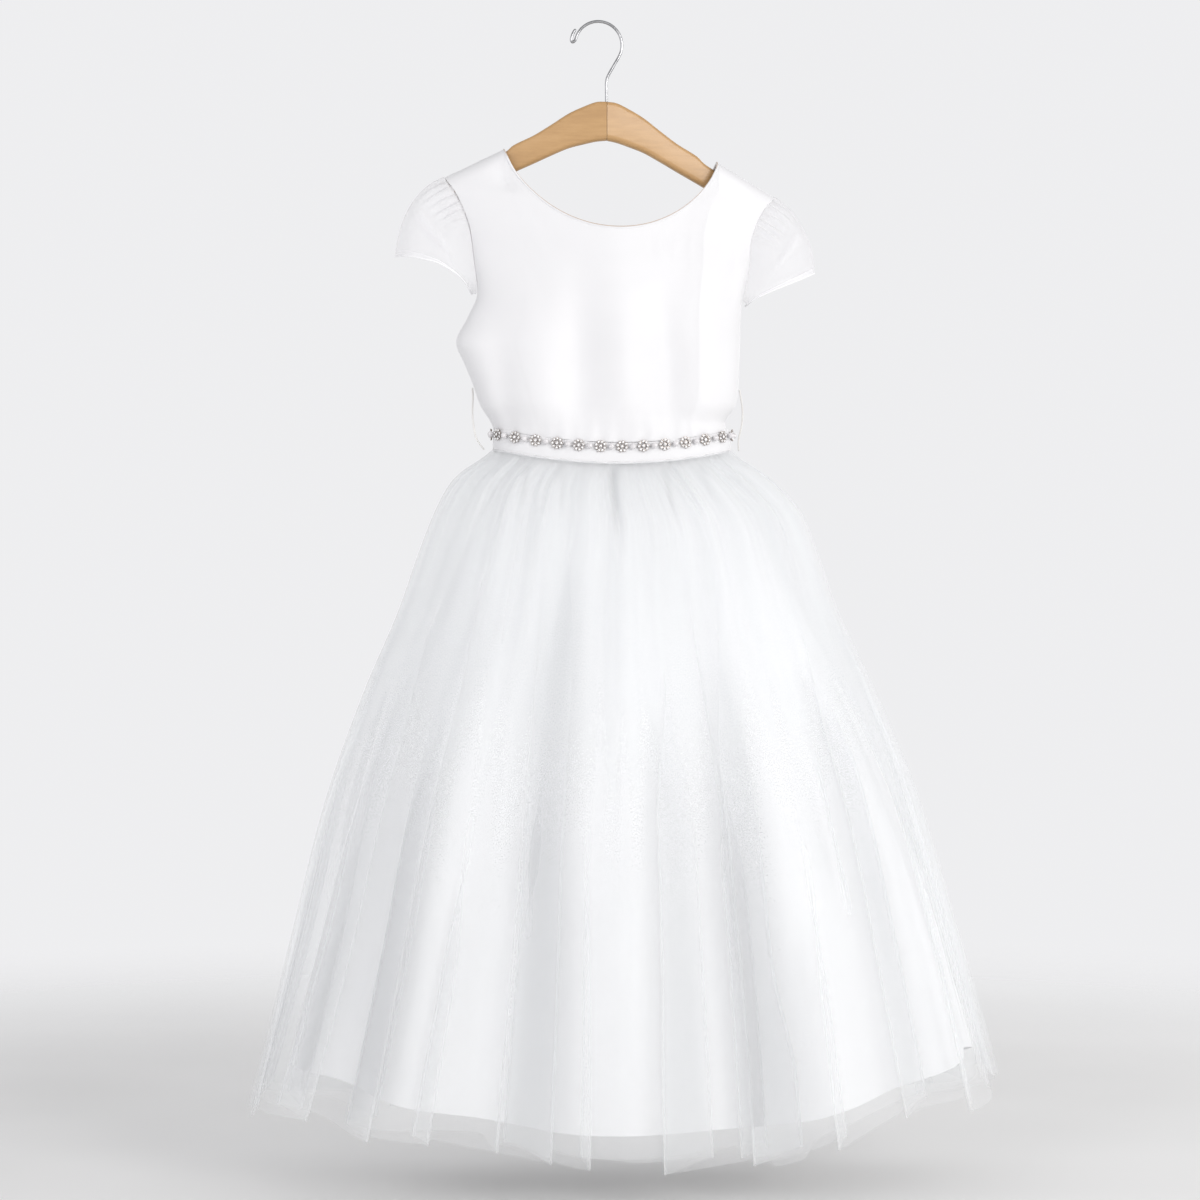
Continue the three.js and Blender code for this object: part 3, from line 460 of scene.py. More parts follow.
class Shader(Nodes):
    """A node material with one principled surface."""

    def __init__(self, name):
        self.material = bpy.data.materials.new(name)
        self.material.use_nodes = True
        super().__init__(self.material.node_tree)
        self.main = self.tree.nodes["Principled BSDF"]
        self.out = self.tree.nodes["Material Output"]

    def set(self, **values):
        for key, value in values.items():
            socket = self.main.inputs[key.replace("_", " ").title().replace("Ior", "IOR")]
            if isinstance(value, bpy.types.NodeSocket):
                self.tree.links.new(value, socket)
            else:
                socket.default_value = value


def satin_material(name, light, shade, rough, sheen):
    """Satin: a fine diagonal float, slubs along the warp and a faint mottle."""
    shader = Shader(name)
    mottle = shader.noise(shader.place("UV", (1, 1, 1)), 14, 2)
    slub = shader.noise(shader.place("UV", (900, 60, 1)), 1, 1)
    floats = shader.bands(shader.place("UV", (1, 1, 1)), FLOAT_SCALE, "DIAGONAL")
    shader.set(
        base_color=shader.ramp(mottle, (0.3, shade), (0.7, light)),
        roughness=shader.span(slub, rough - 0.05, rough + 0.06),
        sheen_weight=sheen,
        sheen_roughness=0.5,
        specular_ior_level=0.35,
        normal=shader.bump(floats, 0.00008, 0.5),
    )
    return shader.material


def sheer_material(name, light, shade, cover, pitch):
    """See-through cloth: a film of `cover` opacity, uneven with its net and where it lies doubled."""
    shader = Shader(name)
    net = shader.noise(shader.place("UV", (1, 1, 1)), 1 / pitch, 0)
    color = shader.ramp(net, (0.3, shade), (0.7, light))
    shader.set(base_color=color, roughness=0.7, specular_ior_level=0.0)
    through = shader.node("BsdfTranslucent", {"Color": color})
    lit = shader.node("MixShader", {0: 0.4, 1: shader.main.outputs[0], 2: through.outputs[0]})
    doubled = shader.node("Attribute", attribute_name="doubled").outputs["Fac"]
    density = shader.math("ADD", shader.span(net, cover - 0.03, cover + 0.03), doubled)
    clear = shader.node("BsdfTransparent")
    mixed = shader.node("MixShader", {0: density, 1: clear.outputs[0], 2: lit.outputs[0]})
    shader.tree.links.new(mixed.outputs[0], shader.out.inputs["Surface"])
    return shader.material


def wood_material():
    shader = Shader("beech")
    broad = shader.noise(shader.place("Object", (3, 26, 26)), 1, 3)
    grain = shader.noise(shader.place("Object", (9, 240, 240)), 1, 4, 0.6)
    pores = shader.noise(shader.place("Object", (60, 900, 900)), 1, 3, 0.7)
    mixed = shader.math("ADD", shader.math("MULTIPLY", grain, 0.5), shader.math("MULTIPLY", broad, 0.4))
    toned = shader.math("ADD", mixed, shader.math("MULTIPLY", pores, 0.1))
    shader.set(
        base_color=shader.ramp(
            toned, (0.32, (0.43, 0.245, 0.1)), (0.5, (0.5, 0.295, 0.125)), (0.68, (0.55, 0.335, 0.155))
        ),
        roughness=shader.span(pores, 0.34, 0.48),
        coat_weight=0.3,
        coat_roughness=0.25,
        normal=shader.bump(toned, 0.0004, 0.25),
    )
    return shader.material


def metal_material(name, color, rough, scratch):
    shader = Shader(name)
    marks = shader.noise(shader.place("Object", (scratch, scratch, scratch)), 1, 4)
    tone = tuple(c * 0.72 for c in color)
    shader.set(
        base_color=shader.ramp(marks, (0.3, tone), (0.65, color)),
        metallic=1.0,
        roughness=shader.span(marks, rough, rough + 0.14),
        normal=shader.bump(marks, 0.0001, 0.2),
    )
    return shader.material


def pearl_material():
    shader = Shader("pearl")
    cloud = shader.noise(shader.place("Object", (260, 260, 260)), 1, 2)
    shader.set(
        base_color=shader.ramp(cloud, (0.3, (0.64, 0.62, 0.63)), (0.7, (0.76, 0.74, 0.75))),
        roughness=shader.span(cloud, 0.2, 0.32),
        coat_weight=0.5,
        coat_roughness=0.08,
        sheen_weight=0.2,
    )
    return shader.material


def stone_material():
    shader = Shader("rhinestone")
    # Painted reflection: a noise paints the stones patchy dark brown, pale and near white, standing in for
    # the glints and dark reflections of cut glass.
    painted_facet_glints = shader.noise(shader.place("Object", (1100, 1100, 1100)), 1, 1)
    shader.set(
        base_color=shader.ramp(
            painted_facet_glints, (0.36, (0.3, 0.27, 0.25)), (0.45, (0.86, 0.85, 0.84)), (0.52, (0.98, 0.98, 0.99))
        ),
        metallic=0.15,
        roughness=0.12,
        specular_ior_level=0.8,
    )
    return shader.material


def thread_material():
    shader = Shader("thread")
    twist = shader.bands(shader.place("Object", (1, 1, 1)), 700, "DIAGONAL")
    shader.set(
        base_color=shader.ramp(twist, (0.2, (0.8, 0.78, 0.75)), (0.8, (0.93, 0.92, 0.9))),
        roughness=0.65,
        sheen_weight=0.2,
        normal=shader.bump(twist, 0.0002, 0.5),
    )
    return shader.material


SATIN = satin_material("satin", (0.78, 0.775, 0.785), (0.76, 0.755, 0.765), 0.46, 0.12)
LINING_SATIN = satin_material("lining_satin", (0.93, 0.932, 0.94), (0.91, 0.913, 0.922), 0.5, 0.1)
TULLE = sheer_material("tulle", (0.97, 0.979, 0.988), (0.955, 0.966, 0.978), TULLE_COVER, 0.0014)
# The neckline facing is a real piece, but its darker warm tan is painted shade: it stands for the warm shadow
# along the inside of the neck edge.
FACING_PAINTED_SHADE = satin_material("facing", (0.62, 0.52, 0.44), (0.58, 0.48, 0.4), 0.55, 0.1)
ORGANZA_HEM = satin_material("organza_hem", (0.95, 0.948, 0.955), (0.93, 0.925, 0.935), 0.55, 0.1)
ORGANZA = sheer_material("organza", (0.95, 0.945, 0.955), (0.93, 0.925, 0.94), 0.5, 0.0009)
WOOD = wood_material()
CHROME = metal_material("chrome", (0.46, 0.46, 0.47), 0.16, 180)
SILVER = metal_material("silver", (0.4, 0.34, 0.3), 0.25, 900)
PEARL = pearl_material()
STONE = stone_material()
THREAD = thread_material()


# ---- camera, light and floor ----
def look(obj, target):
    obj.rotation_euler = (Vector(target) - obj.location).to_track_quat("-Z", "Y").to_euler()


FLOOR_RADIUS, FLOOR_GAP = 2.2, 0.035
LIGHTS = [  # name, place, size, watts, colour
    ("key", (1.8, -3.0, 0.5), 1.5, 50, (1.0, 0.99, 0.975)),
    ("side", (3.2, -0.9, 0.2), 1.6, 13, (1.0, 1.0, 0.99)),
    ("back", (1.4, 3.2, 0.4), 2.2, 14, (1.0, 1.0, 1.0)),
    ("left", (-2.4, -3.0, 0.3), 2.2, 27, (0.97, 0.975, 1.0)),
]
# Strength of the surround at the level of the dress, and straight above and below
SKY_LEVEL, SKY_ABOVE = 0.87, 0.5


def make_stage():
    scene = bpy.context.scene
    scene.view_settings.view_transform = "Standard"
    scene.cycles.transparent_max_bounces = 10
    scene.cycles.max_bounces = 4
    scene.cycles.diffuse_bounces = 2
    scene.cycles.transmission_bounces = 1
    camera = bpy.data.objects.new("camera", bpy.data.cameras.new("camera"))
    camera.data.lens = 90
    camera.data.sensor_width = 36
    camera.data.clip_end = 30
    target = Vector((0.0015, 0, -0.577))
    azimuth = math.radians(-5)
    camera.location = target + 3 * Vector((math.sin(azimuth), -math.cos(azimuth), 0))
    look(camera, target)
    scene.collection.objects.link(camera)
    scene.camera = camera

    for name, place, size, energy, color in LIGHTS:
        light = bpy.data.objects.new(name, bpy.data.lights.new(name, "AREA"))
        light.data.size = size
        light.data.energy = energy
        light.data.color = color
        light.location = place
        light.visible_camera = False
        look(light, (0, 0, -0.6))
        scene.collection.objects.link(light)

    world = bpy.data.worlds.new("studio")
    scene.world = world
    world.use_nodes = True
    sky = Nodes(world.node_tree)
    direction = sky.node("TexCoord").outputs["Generated"]
    height = sky.node("SeparateXYZ", {0: direction}).outputs["Z"]
    spans = {"From Min": 0.28, "From Max": 0.85, "To Min": SKY_LEVEL, "To Max": SKY_ABOVE}
    strength = sky.node("MapRange", {"Value": sky.math("ABSOLUTE", height), **spans}).outputs["Result"]
    surround = sky.tree.nodes["Background"]
    surround.inputs["Color"].default_value = (0.985, 0.985, 1.0, 1)
    sky.tree.links.new(strength, surround.inputs["Strength"])

    # A round pale floor just under the hem, which fades out into the surround.
    floor = Shader("floor")
    dust = floor.noise(floor.place("Object", (1, 1, 1)), 3, 1)
    paint = floor.ramp(dust, (0.3, (0.83, 0.826, 0.82)), (0.7, (0.87, 0.866, 0.86)))
    floor.set(base_color=paint, roughness=0.8)
    level_place = floor.place("Object", (1 / FLOOR_RADIUS, 1 / FLOOR_RADIUS, 0))
    reach = floor.node("VectorMath", {0: level_place}, operation="LENGTH").outputs["Value"]
    inputs = {"Value": reach, "From Min": 0.35, "From Max": 1, "To Min": 1, "To Max": 0}
    shown = floor.node("MapRange", inputs, interpolation_type="SMOOTHSTEP").outputs["Result"]
    floor.set(alpha=shown)
    angles = np.linspace(0, 2 * math.pi, 97)[:-1]
    corners = [(FLOOR_RADIUS * math.cos(a), FLOOR_RADIUS * math.sin(a)) for a in angles]
    mesh = bpy.data.meshes.new("floor")
    low = cad_box[0].z - FLOOR_GAP
    mesh.from_pydata([(x, y, low) for x, y in corners], [], [tuple(range(len(corners)))])
    new_object("floor", mesh, floor.material)


# ---- bodice ----
def shoulder_drop(x):
    return NECK_DROP + (np.abs(x) - NECK_HALF) * SHOULDER_SLOPE


def front_neck(x):
    return NECK_DROP + FRONT_SCOOP * np.maximum(0, 1 - (x / NECK_HALF) ** 2) ** 0.7


def back_neck(x):
    return NECK_DROP + BACK_VEE * np.maximum(0, 1 - np.abs(x) / NECK_HALF) ** 0.85


def band_top(across, at_back):
    return BAND_TOP + np.where(at_back, BAND_SAG_BACK, BAND_SAG) * np.maximum(0, 1 - across**2)


def half_at(across, drop):
    left = read(BODICE, "drop", drop, "left")
    right = read(BODICE, "drop", drop, "right")
    return np.where(across < 0, left, right)


def drape_depth(x, drop, drapes):
    total = 0
    for top, bottom, deep, wide, start, end in drapes:
        down = np.clip((drop - start) / (end - start), 0, 1)
        grow = smoothstep(down, 0, 0.55) * (1 - smoothstep(down, 0.75, 1))
        total = total + deep * grow * np.exp(-(((x - lerp(top, bottom, down)) / wide) ** 2))
    return total


def small_creases(x, drop):
    """Puckers below the neckline and at the waist seam, and faint drag lines."""
    below_neck = np.exp(-(((drop - 222) / 16) ** 2)) * smoothstep(x, 18, 42) * (1 - smoothstep(x, 70, 92))
    total = 0.32 * below_neck * np.sin(x / 2.6)
    at_waist = smoothstep(drop, 385, 421)
    total = total + 0.55 * at_waist * (np.sin(x / 4.1 + 1.7 * np.sin(x / 23)) + 0.6 * np.sin(x / 2.3 + 2))
    soft = np.sin(x / 37 + drop / 60) * np.sin(drop / 41 - x / 55)
    return total + 0.7 * soft * smoothstep(drop, 190, 300)


def bodice_points(across, drop, at_back):
    x = across * half_at(across, drop)
    shut = np.minimum(1, read(BODICE, "drop", drop, "shut"))
    deep = read(BODICE, "drop", drop, "back" if at_back else "front")
    below = np.clip((drop - shoulder_drop(x)) / SHOULDER_ROUND, 0, 1)
    bend = np.sqrt(1 - (1 - below) ** 2)
    wide = oval_depth(across * shut)
    near = np.minimum(1, wide * 1.6)
    fold = small_creases(x if not at_back else -x, drop) * near
    fold = fold + drape_depth(x, drop, BACK_DRAPES if at_back else DRAPES) * near
    away = deep * wide * bend - fold + SEAM / 2
    sideways = np.abs(x) if at_back else np.abs(x) * np.tanh(np.abs(x) / CENTRE_ROUND)
    middle = read(BODICE, "drop", drop, "sweep") * sideways
    return hung(x, middle + away if at_back else middle - away, drop)


def top_edge(across, neck):
    across = np.asarray(across, float)
    high = np.full(across.shape, float(NECK_DROP))
    low = np.full(across.shape, float(NECK_DROP + BACK_VEE + 1))
    for _ in range(34):
        middle = (high + low) / 2
        above = middle < neck(across * half_at(across, middle))
        high, low = np.where(above, middle, high), np.where(above, low, middle)
    straight = shoulder_drop(across * SHOULDER_HALF)
    return np.where(np.abs(across) * SHOULDER_HALF >= NECK_HALF - 0.01, straight, high)


NECK_ACROSS = NECK_HALF / SHOULDER_HALF
EDGE_ROWS = np.array([0, 0.35, 0.9, 1.8, 3.2, 5.2, 8, 11, 14])


def panel(build, columns, neck, at_back, rows=96):
    top = top_edge(columns, neck)
    bottom = band_top(columns, at_back) - SEAM
    drops = [top + edge for edge in EDGE_ROWS]
    for down in np.linspace(0, 1, rows)[1:]:
        drops.append(lerp(top + EDGE_ROWS[-1], bottom, down))
    grid = np.stack([bodice_points(columns, drop, at_back) for drop in drops])
    build.wall(grid, SATIN_WALL, (280, 300))
    edge = grid[0][np.abs(columns) < NECK_ACROSS + 1e-6]
    build.tube(edge + [0, 0, -0.6], 1.25, 8)
    # The facing's edge inside the neckline, drawn in the darker tan that paints the warm shade along the neck
    # edge.
    build.tube(edge + [0, 0, 0.9], 0.5, 6, kind=1)


def one_side(count_neck, count_strap):
    inner = NECK_ACROSS * np.sin(np.linspace(0, math.pi / 2, count_neck))
    outer = np.linspace(NECK_ACROSS, 1, count_strap)[1:]
    return np.concatenate([inner, outer])


def make_bodice():
    side = one_side(48, 24)
    build = Build()
    panel(build, np.concatenate([-side[:0:-1], side]), front_neck, False)
    front = build.finish("front_panel", [SATIN, FACING_PAINTED_SHADE], ["bodice_front"])
    gap = SEAM / 2 / WAIST["half"]
    for hand, end in ((-1, "left"), (1, "right")):
        build = Build()
        panel(build, hand * np.maximum(side, gap), back_neck, True)
        back = build.finish("back_panel_" + end, [SATIN, FACING_PAINTED_SHADE], ["bodice_back_" + end])


# ---- cap sleeves ----
def sleeve_points(hand, place, along):
    """place goes once round the sleeve, 0 at the underarm; along from armhole to hem."""
    side = np.abs(place - 0.5) * 2
    face = np.where(place < 0.5, -1.0, 1.0)
    arm_drop = lerp(shoulder_drop(SHOULDER_HALF), UNDERARM_DROP - 2, side**1.15)
    ends = np.full_like(arm_drop, float(hand))
    front = bodice_points(ends, arm_drop, False)
    back = bodice_points(ends, arm_drop, True)
    arm_y = np.where(face > 0, back[..., 1], front[..., 1])
    arm_x = half_at(ends, arm_drop) + 0.7 + 0.8 * smoothstep(side, 0.75, 1)
    hem = "left" if hand < 0 else "right"
    hem_x = read(SLEEVE_HEM, "side", side, hem)
    hem_drop = read(SLEEVE_HEM, "side", side, hem + "Drop")
    lift = np.where(face > 0, SLEEVE_BACK_LIFT * np.sin(math.pi * side), 0)
    hem_y = SLEEVE_SWEEP * hem_x + face * read(SLEEVE_HEM, "side", side, "deep")
    start = np.stack([arm_x, arm_y, -arm_drop], -1)
    end = np.stack([hem_x, hem_y, lift - hem_drop], -1)
    puff_x, puff_y, puff_z = SLEEVE_PUFF
    puff = np.stack(
        [lerp(puff_x, 3, side), face * puff_y * np.sin(math.pi * side**0.8), lerp(puff_z, 1, side)], -1
    )
    control = (start + end) / 2 + puff
    w = along[..., None]
    point = start * (1 - w) ** 2 + control * 2 * w * (1 - w) + end * w**2
    away = np.stack([point[..., 1] - SLEEVE_SWEEP * point[..., 0], point[..., 2] + SLEEVE_AXIS], -1)
    away /= np.linalg.norm(away, axis=-1)[..., None]
    at_top = 1 - smoothstep(side, 0.26, 0.5)
    angle = 2 * math.pi * (place - 0.5)
    drift = 0.6 * np.sin(5 * angle + 1) + 2.0 * along
    fade = 1 - smoothstep(along, 0.14, 0.46)
    wave = 1.6 * (1 - along) * (0.6 + 2.5 * along) * fade * np.cos(29 * angle + drift)
    wave = wave + 0.9 * (1 - along) * fade * np.cos(13 * angle + 2 * drift)
    soft = 1.8 * np.sin(math.pi * along) * np.sin(4 * angle + 3.5 * along + (1 if hand < 0 else 2.4))
    ridge = 1.9 * np.exp(-(((along - 0.5 - 0.2 * side) / 0.07) ** 2)) * smoothstep(side, 0.05, 0.2)
    ridge = ridge * (1 - smoothstep(side, 0.45, 0.7))
    crease = 1.4 * np.exp(-(((along - 1.55 * side + 0.25) / 0.06) ** 2)) * (1 - side) * along
    out = wave * at_top + soft * (1 - side) + ridge - crease
    x = hand * point[..., 0]
    y = point[..., 1] + away[..., 0] * out
    gathered = 0.3 * at_top * (1 - smoothstep(along, 0.04, 0.24)) * (0.5 - 0.5 * np.cos(29 * angle + drift))
    gathered = gathered + 0.2 * np.maximum(0, ridge / 1.9) ** 2
    return hung(x, y, -(point[..., 2] + away[..., 1] * out)), gathered


def make_sleeves():
    for hand, name in ((-1, "sleeve_left"), (1, "sleeve_right")):
        shares = np.concatenate([np.linspace(0, 0.93, 44), [0.938, 0.944, 0.95, 0.97, 0.985, 1]])
        place, along = np.meshgrid(np.linspace(0, 1, 360, endpoint=False), shares)
        grid, gathered = sleeve_points(hand, place, along)
        turned_up = 0.3 * smoothstep(along, 0.942, 0.948) + 0.3 * np.exp(-(((along - 0.945) / 0.006) ** 2))
        build = Build()
        build.grid(grid, closed=True, size=(300, 90), doubled=gathered + turned_up)
        build.tube(grid[-1], 0.75, 6, kind=1, closed=True)
        sleeve = build.finish("cap_" + name, [ORGANZA, ORGANZA_HEM], [name])


# ---- waistband ----
WAIST_LENGTH, waist_turn = round_table(**WAIST)


def waist_points(turn, out, down):
    x, y, out_x, out_y = oval(turn, **WAIST)
    at_back = np.cos(np.radians(turn)) < 0
    drop = band_top(x / WAIST["half"], at_back) + down
    return hung(x + out_x * out, y + out_y * out, drop)


def make_waistband():
    reach = WAIST_LENGTH - SEAM
    distance = np.linspace(-reach / 2, reach / 2, 420)
    turn = waist_turn(distance)
    rows = []
    for share in np.linspace(0, 1, 16):
        pull = 0.5 * np.sin(distance / 9 + 4 * share) * np.sin(distance / 31 + 2 * share)
        crown = 0.9 * math.sin(math.pi * share) ** 0.5
        rows.append(waist_points(turn, crown - 0.4 + pull * math.sin(math.pi * share), share * BAND_HIGH))
    rows.insert(0, waist_points(turn, -1.2, -1.8))
    build = Build()
    build.wall(np.stack(rows), 0.5, (WAIST_LENGTH, BAND_HIGH))
    for stitch in np.arange(-reach / 2 + 4, reach / 2 - 4, 3.4):
        ends = waist_turn(np.array([stitch, stitch + 1.1, stitch + 2.2]))
        build.tube(waist_points(ends, np.array([0.55, 0.95, 0.55]), BAND_HIGH - 2.4), 0.16, 4, kind=1)
    band = build.finish("satin_band", [SATIN, THREAD], ["waistband"])


# ---- beaded trim ----
def ring(radius, height, sides, start=0.0):
    angles = start + np.arange(sides) * 2 * math.pi / sides
    return np.stack([radius * np.cos(angles), radius * np.sin(angles), np.full(sides, height)], -1)


def lathe(profile, sides, start=0.0):
    """Points and faces of a profile of (radius, height) turned round Z, ends closed."""
    points = np.concatenate([ring(r, h, sides, start) for r, h in profile])
    faces = [tuple(reversed(range(sides))), *cells(len(profile), sides, True)]
    faces.append(tuple((len(profile) - 1) * sides + k for k in range(sides)))
    return points, faces


def ball(radius, sides, rings):
    angles = np.linspace(-math.pi / 2 + 0.25, math.pi / 2 - 0.25, rings)
    return lathe([(radius * math.cos(a), radius * math.sin(a)) for a in angles], sides)


def flower_parts():
    """A floret: one stone in the middle and eight round it, each in a silver cup."""
    parts = []
    spots = [(0, 0, 1.75)]
    for k in range(8):
        angle = math.pi / 8 + k * math.pi / 4
        spots.append((4.4 * math.cos(angle), 4.4 * math.sin(angle), 1.5))
    for i, (x, y, radius) in enumerate(spots):
        lift = 1.0 if i == 0 else 0.3
        cup = [(radius * 0.7, 0), (radius * 1.06, 0.7), (radius * 1.08, 1.25), (radius * 0.92, 1.3)]
        points, faces = lathe(cup, 9)
        parts.append((points + [x, y, lift], faces, 1))
        stone = [(radius * 0.94, 1.1), (radius * 0.9, 1.4), (radius * 0.5, 2.1)]
        points, faces = lathe(stone, 7, 0.3 * i)
        parts.append((points + [x, y, lift], faces, 2))
        for k in range(3):
            angle = 0.5 + i + k * 2 * math.pi / 3
            points, faces = ball(0.34, 5, 4)
            prong = [x + radius * math.cos(angle), y + radius * math.sin(angle), lift + 1.45]
            parts.append((points + prong, faces, 1))
    return parts


def make_trim():
    build = Build()
    base = 1.6
    reach = WAIST_LENGTH / 2 - TRIM_END
    flower = flower_parts()
    points, faces = ball(PEARL_RADIUS, 16, 12)
    pearl = [(points + [0, 0, PEARL_RADIUS], faces, 0)]

    def stand(parts, distance, out, roll=0.0):
        turn = waist_turn(distance)
        _, _, out_x, out_y = oval(turn, **WAIST)
        facing = Vector((float(out_x), float(out_y), 0))
        along = Vector((0, 0, 1)).cross(facing)
        turned = Matrix((along, (0, 0, 1), facing)).transposed() @ Matrix.Rotation(roll, 3, "Z")
        origin = waist_points(turn, out, TRIM_DROP)
        for points, faces, kind in parts:
            build.add(points @ np.array(turned).T + origin, faces, kind, flat=kind == 2)

    count = int((reach - FLOWER_RADIUS) / FLOWER_PITCH + 0.5)
    spots = FLOWER_START + FLOWER_PITCH * np.arange(-count, count)
    for i, spot in enumerate(spots):
        stand(flower, spot + FLOWER_PITCH / 2, base - 0.4, 0.35 * math.sin(3.7 * i))
    for spot in spots[1:]:
        stand(pearl, spot, base - 0.2)
    line = np.linspace(-reach, reach, 240)
    rows = [waist_points(waist_turn(line), base - 0.6, TRIM_DROP + down) for down in (-0.8, -0.3, 0.3, 0.8)]
    build.grid(np.stack(rows), size=(2 * reach, 1.6))
    build.finish("bead_row", [PEARL, SILVER, STONE], ["bead_trim"], merge=False)


# ---- skirt ----
SKIRT_LENGTH, skirt_turn = round_table(290, 124, 68)


def flute_at(turn):
    turns = np.array(FLUTES["turn"], float)
    outs = np.array(FLUTES["out"], float)
    turns = np.concatenate([turns, [turns[0] + 360]])
    outs = np.concatenate([outs, [outs[0]]])
    place = np.where(turn < turns[0], turn + 360, turn)
    i = np.clip(np.searchsorted(turns, place, side="right") - 1, 0, len(turns) - 2)
    w = (place - turns[i]) / (turns[i + 1] - turns[i])
    return lerp(outs[i], outs[i + 1], w) * np.cos(2 * math.pi * w)


def uneven(place):
    return (
        place
        + 0.0042 * np.sin(2 * math.pi * 5 * place + 1.3)
        + 0.0028 * np.sin(2 * math.pi * 11 * place + 0.4)
    )


def place_of(turn):
    turns = skirt_turn(np.linspace(-0.5, 0.5, 1441) * SKIRT_LENGTH)
    return np.interp(turn, turns, np.linspace(-0.5, 0.5, 1441))


def over_folds(place, t, folds):
    """Shift along the cloth, step outwards and drop of folds that lie over themselves."""
    shift, out, lower = 0, 0, 0
    for top, bottom, begin, end, deep, wide in folds:
        sway = 0.8 * np.sin(6 * t + top) * t * (1 - t)
        middle = lerp(place_of(top + sway), place_of(bottom + sway), t)
        p = (place - middle) / (wide / SKIRT_LENGTH)
        kernel = p * np.exp(0.5 * (1 - p * p))
        grow = smoothstep(t, begin, begin + 0.3) if begin > 0 else 0.3 + 0.7 * smoothstep(t, 0, 0.25)
        grow = grow * (1 - smoothstep(t, end, end + 0.2))
        side = math.copysign(1, deep)
        shift = shift - abs(deep) / SKIRT_LENGTH * kernel * grow
        out = out - side * (1.2 + 4.2 * t) * kernel * grow
        step = np.tanh(2.5 * p) * np.exp(-((p / 4.5) ** 2))
        lower = lower - side * HEM_STEP * step * grow * smoothstep(t, 0.65, 1)
    return shift, out, lower


def doubled_at(place, t, shift, half, seed):
    """How much denser than a flat layer the tulle looks: gathered, folded over or streaked."""
    gathered = 1 - (1 - TULLE_COVER) ** (half.max() / half) - TULLE_COVER
    along = np.gradient(place + shift, axis=1) / np.gradient(place, axis=1)
    turned = np.clip(1 - np.abs(along) / 0.85, 0, 1) * smoothstep(t, 0.25, 0.9)
    for _ in range(3):
        turned = (np.roll(turned, 1, 1) + 2 * turned + np.roll(turned, -1, 1)) / 4
    return gathered + 0.36 * turned + 0.012 * waves(seed + 30, 15, 70, 9)(place, 0.2 * t)


def hidden_folds(seed, around):
    """Folds like those of the front for the stretch of turns that the front table leaves."""
    rng = np.random.default_rng(seed)
    folds = []
    for turn in around:
        top = turn + rng.uniform(-4, 4)
        at_side = abs(math.sin(math.radians(turn))) ** 8
        deep = lerp(rng.uniform(13, 26), 11, at_side) * rng.choice([-1, 1])
        begin, end = max(0, rng.uniform(-0.1, 0.4)), rng.choice([0.55, 1.2, 1.2, 1.2])
        folds.append((top, top + rng.uniform(-4, 4), begin, end, deep, rng.uniform(10, 13)))
    return folds


def skirt_points(table, hem, place, t, folds, seed, near, far, flute, ripple, gather, long=1.0):
    """Points of a skirt layer and how dense its cloth is."""
    shift, step, lower = over_folds(place, t, folds)
    doubled = doubled_at(place, t, shift, read(table, "t", t, "half"), seed)
    place = place + shift
    turn = skirt_turn(place * SKIRT_LENGTH)
    tuck = 1 - smoothstep(t, 0, 0.012)
    inside = lerp(near, far, t**0.7) + 1.2 * tuck
    half = read(table, "t", t, "half") - inside
    x, y, out_x, out_y = oval(
        turn, half, read(table, "t", t, "front") - inside, read(table, "t", t, "back") - inside
    )
    wave = uneven(place)
    out = step + flute * flute_at(turn) * smoothstep(t, 0.06, 0.8)
    for middle, deep, wide, long_t in WAIST_TUCKS:
        narrow = wide * (1 - 0.6 * np.clip(t / long_t, 0, 1))
        groove = np.exp(-(((place - place_of(middle)) / (narrow / SKIRT_LENGTH)) ** 2))
        out = out - deep * groove * smoothstep(t, 0, 0.015) * (1 - smoothstep(t, 0.4 * long_t, long_t))
    at_side = np.abs(np.sin(np.radians(turn))) ** 6
    bunch = gather * (0.15 + 0.85 * smoothstep(t, 0.004, 0.03)) * (1 + 3 * t) * (1 - smoothstep(t, 0.08, 0.4))
    bunch = bunch * (1 - 0.8 * at_side * smoothstep(t, 0.02, 0.12))
    fine = waves(seed, 50, 90, 8)
    streaks = waves(seed + 1, 18, 44, 9)
    vary = waves(seed + 3, 3, 13, 7)(place, 0.4 * t)
    out = out + bunch * (1 + 0.6 * vary) * np.cos(2 * math.pi * GATHERS * wave + 1.3 * vary)
    out = out + 0.2 * bunch * (1 - smoothstep(t, 0.03, 0.2)) * fine(place, 0.3 * t)
    size = ripple * smoothstep(t, 0.08, 0.45) * (1 - 0.8 * at_side) * (0.75 + 0.5 * vary)
    out = out + size * np.cos(2 * math.pi * RIPPLES * wave)
    out = out + ripple * 0.1 * smoothstep(t, 0.02, 0.3) * (1 - 0.8 * at_side) * streaks(place, 0.2 * t)
    at_back = np.cos(np.radians(turn)) < 0
    seam = band_top(np.clip(x / half, -1, 1), at_back) + BAND_HIGH + SEAM
    if long < 1:
        for scrap, longer, wide in SCRAPS:
            far_off = (place - place_of(scrap)) / (wide / SKIRT_LENGTH)
            lower = lower + longer * np.exp(-(far_off**8)) * smoothstep(t, 0.85, 1)
    drop = seam - 2.5 * tuck + read(HEM, "turn", turn, hem) * long * t + lower
    return hung(x + out_x * out + read(table, "t", t, "shift"), y + out_y * out, drop), doubled


def once_round(columns, rows):
    """Places round a layer and shares down it, closer at the waist, where the cloth turns fastest."""
    return np.meshgrid(np.linspace(-0.5, 0.5, columns, endpoint=False), np.linspace(0, 1, rows) ** 1.35)


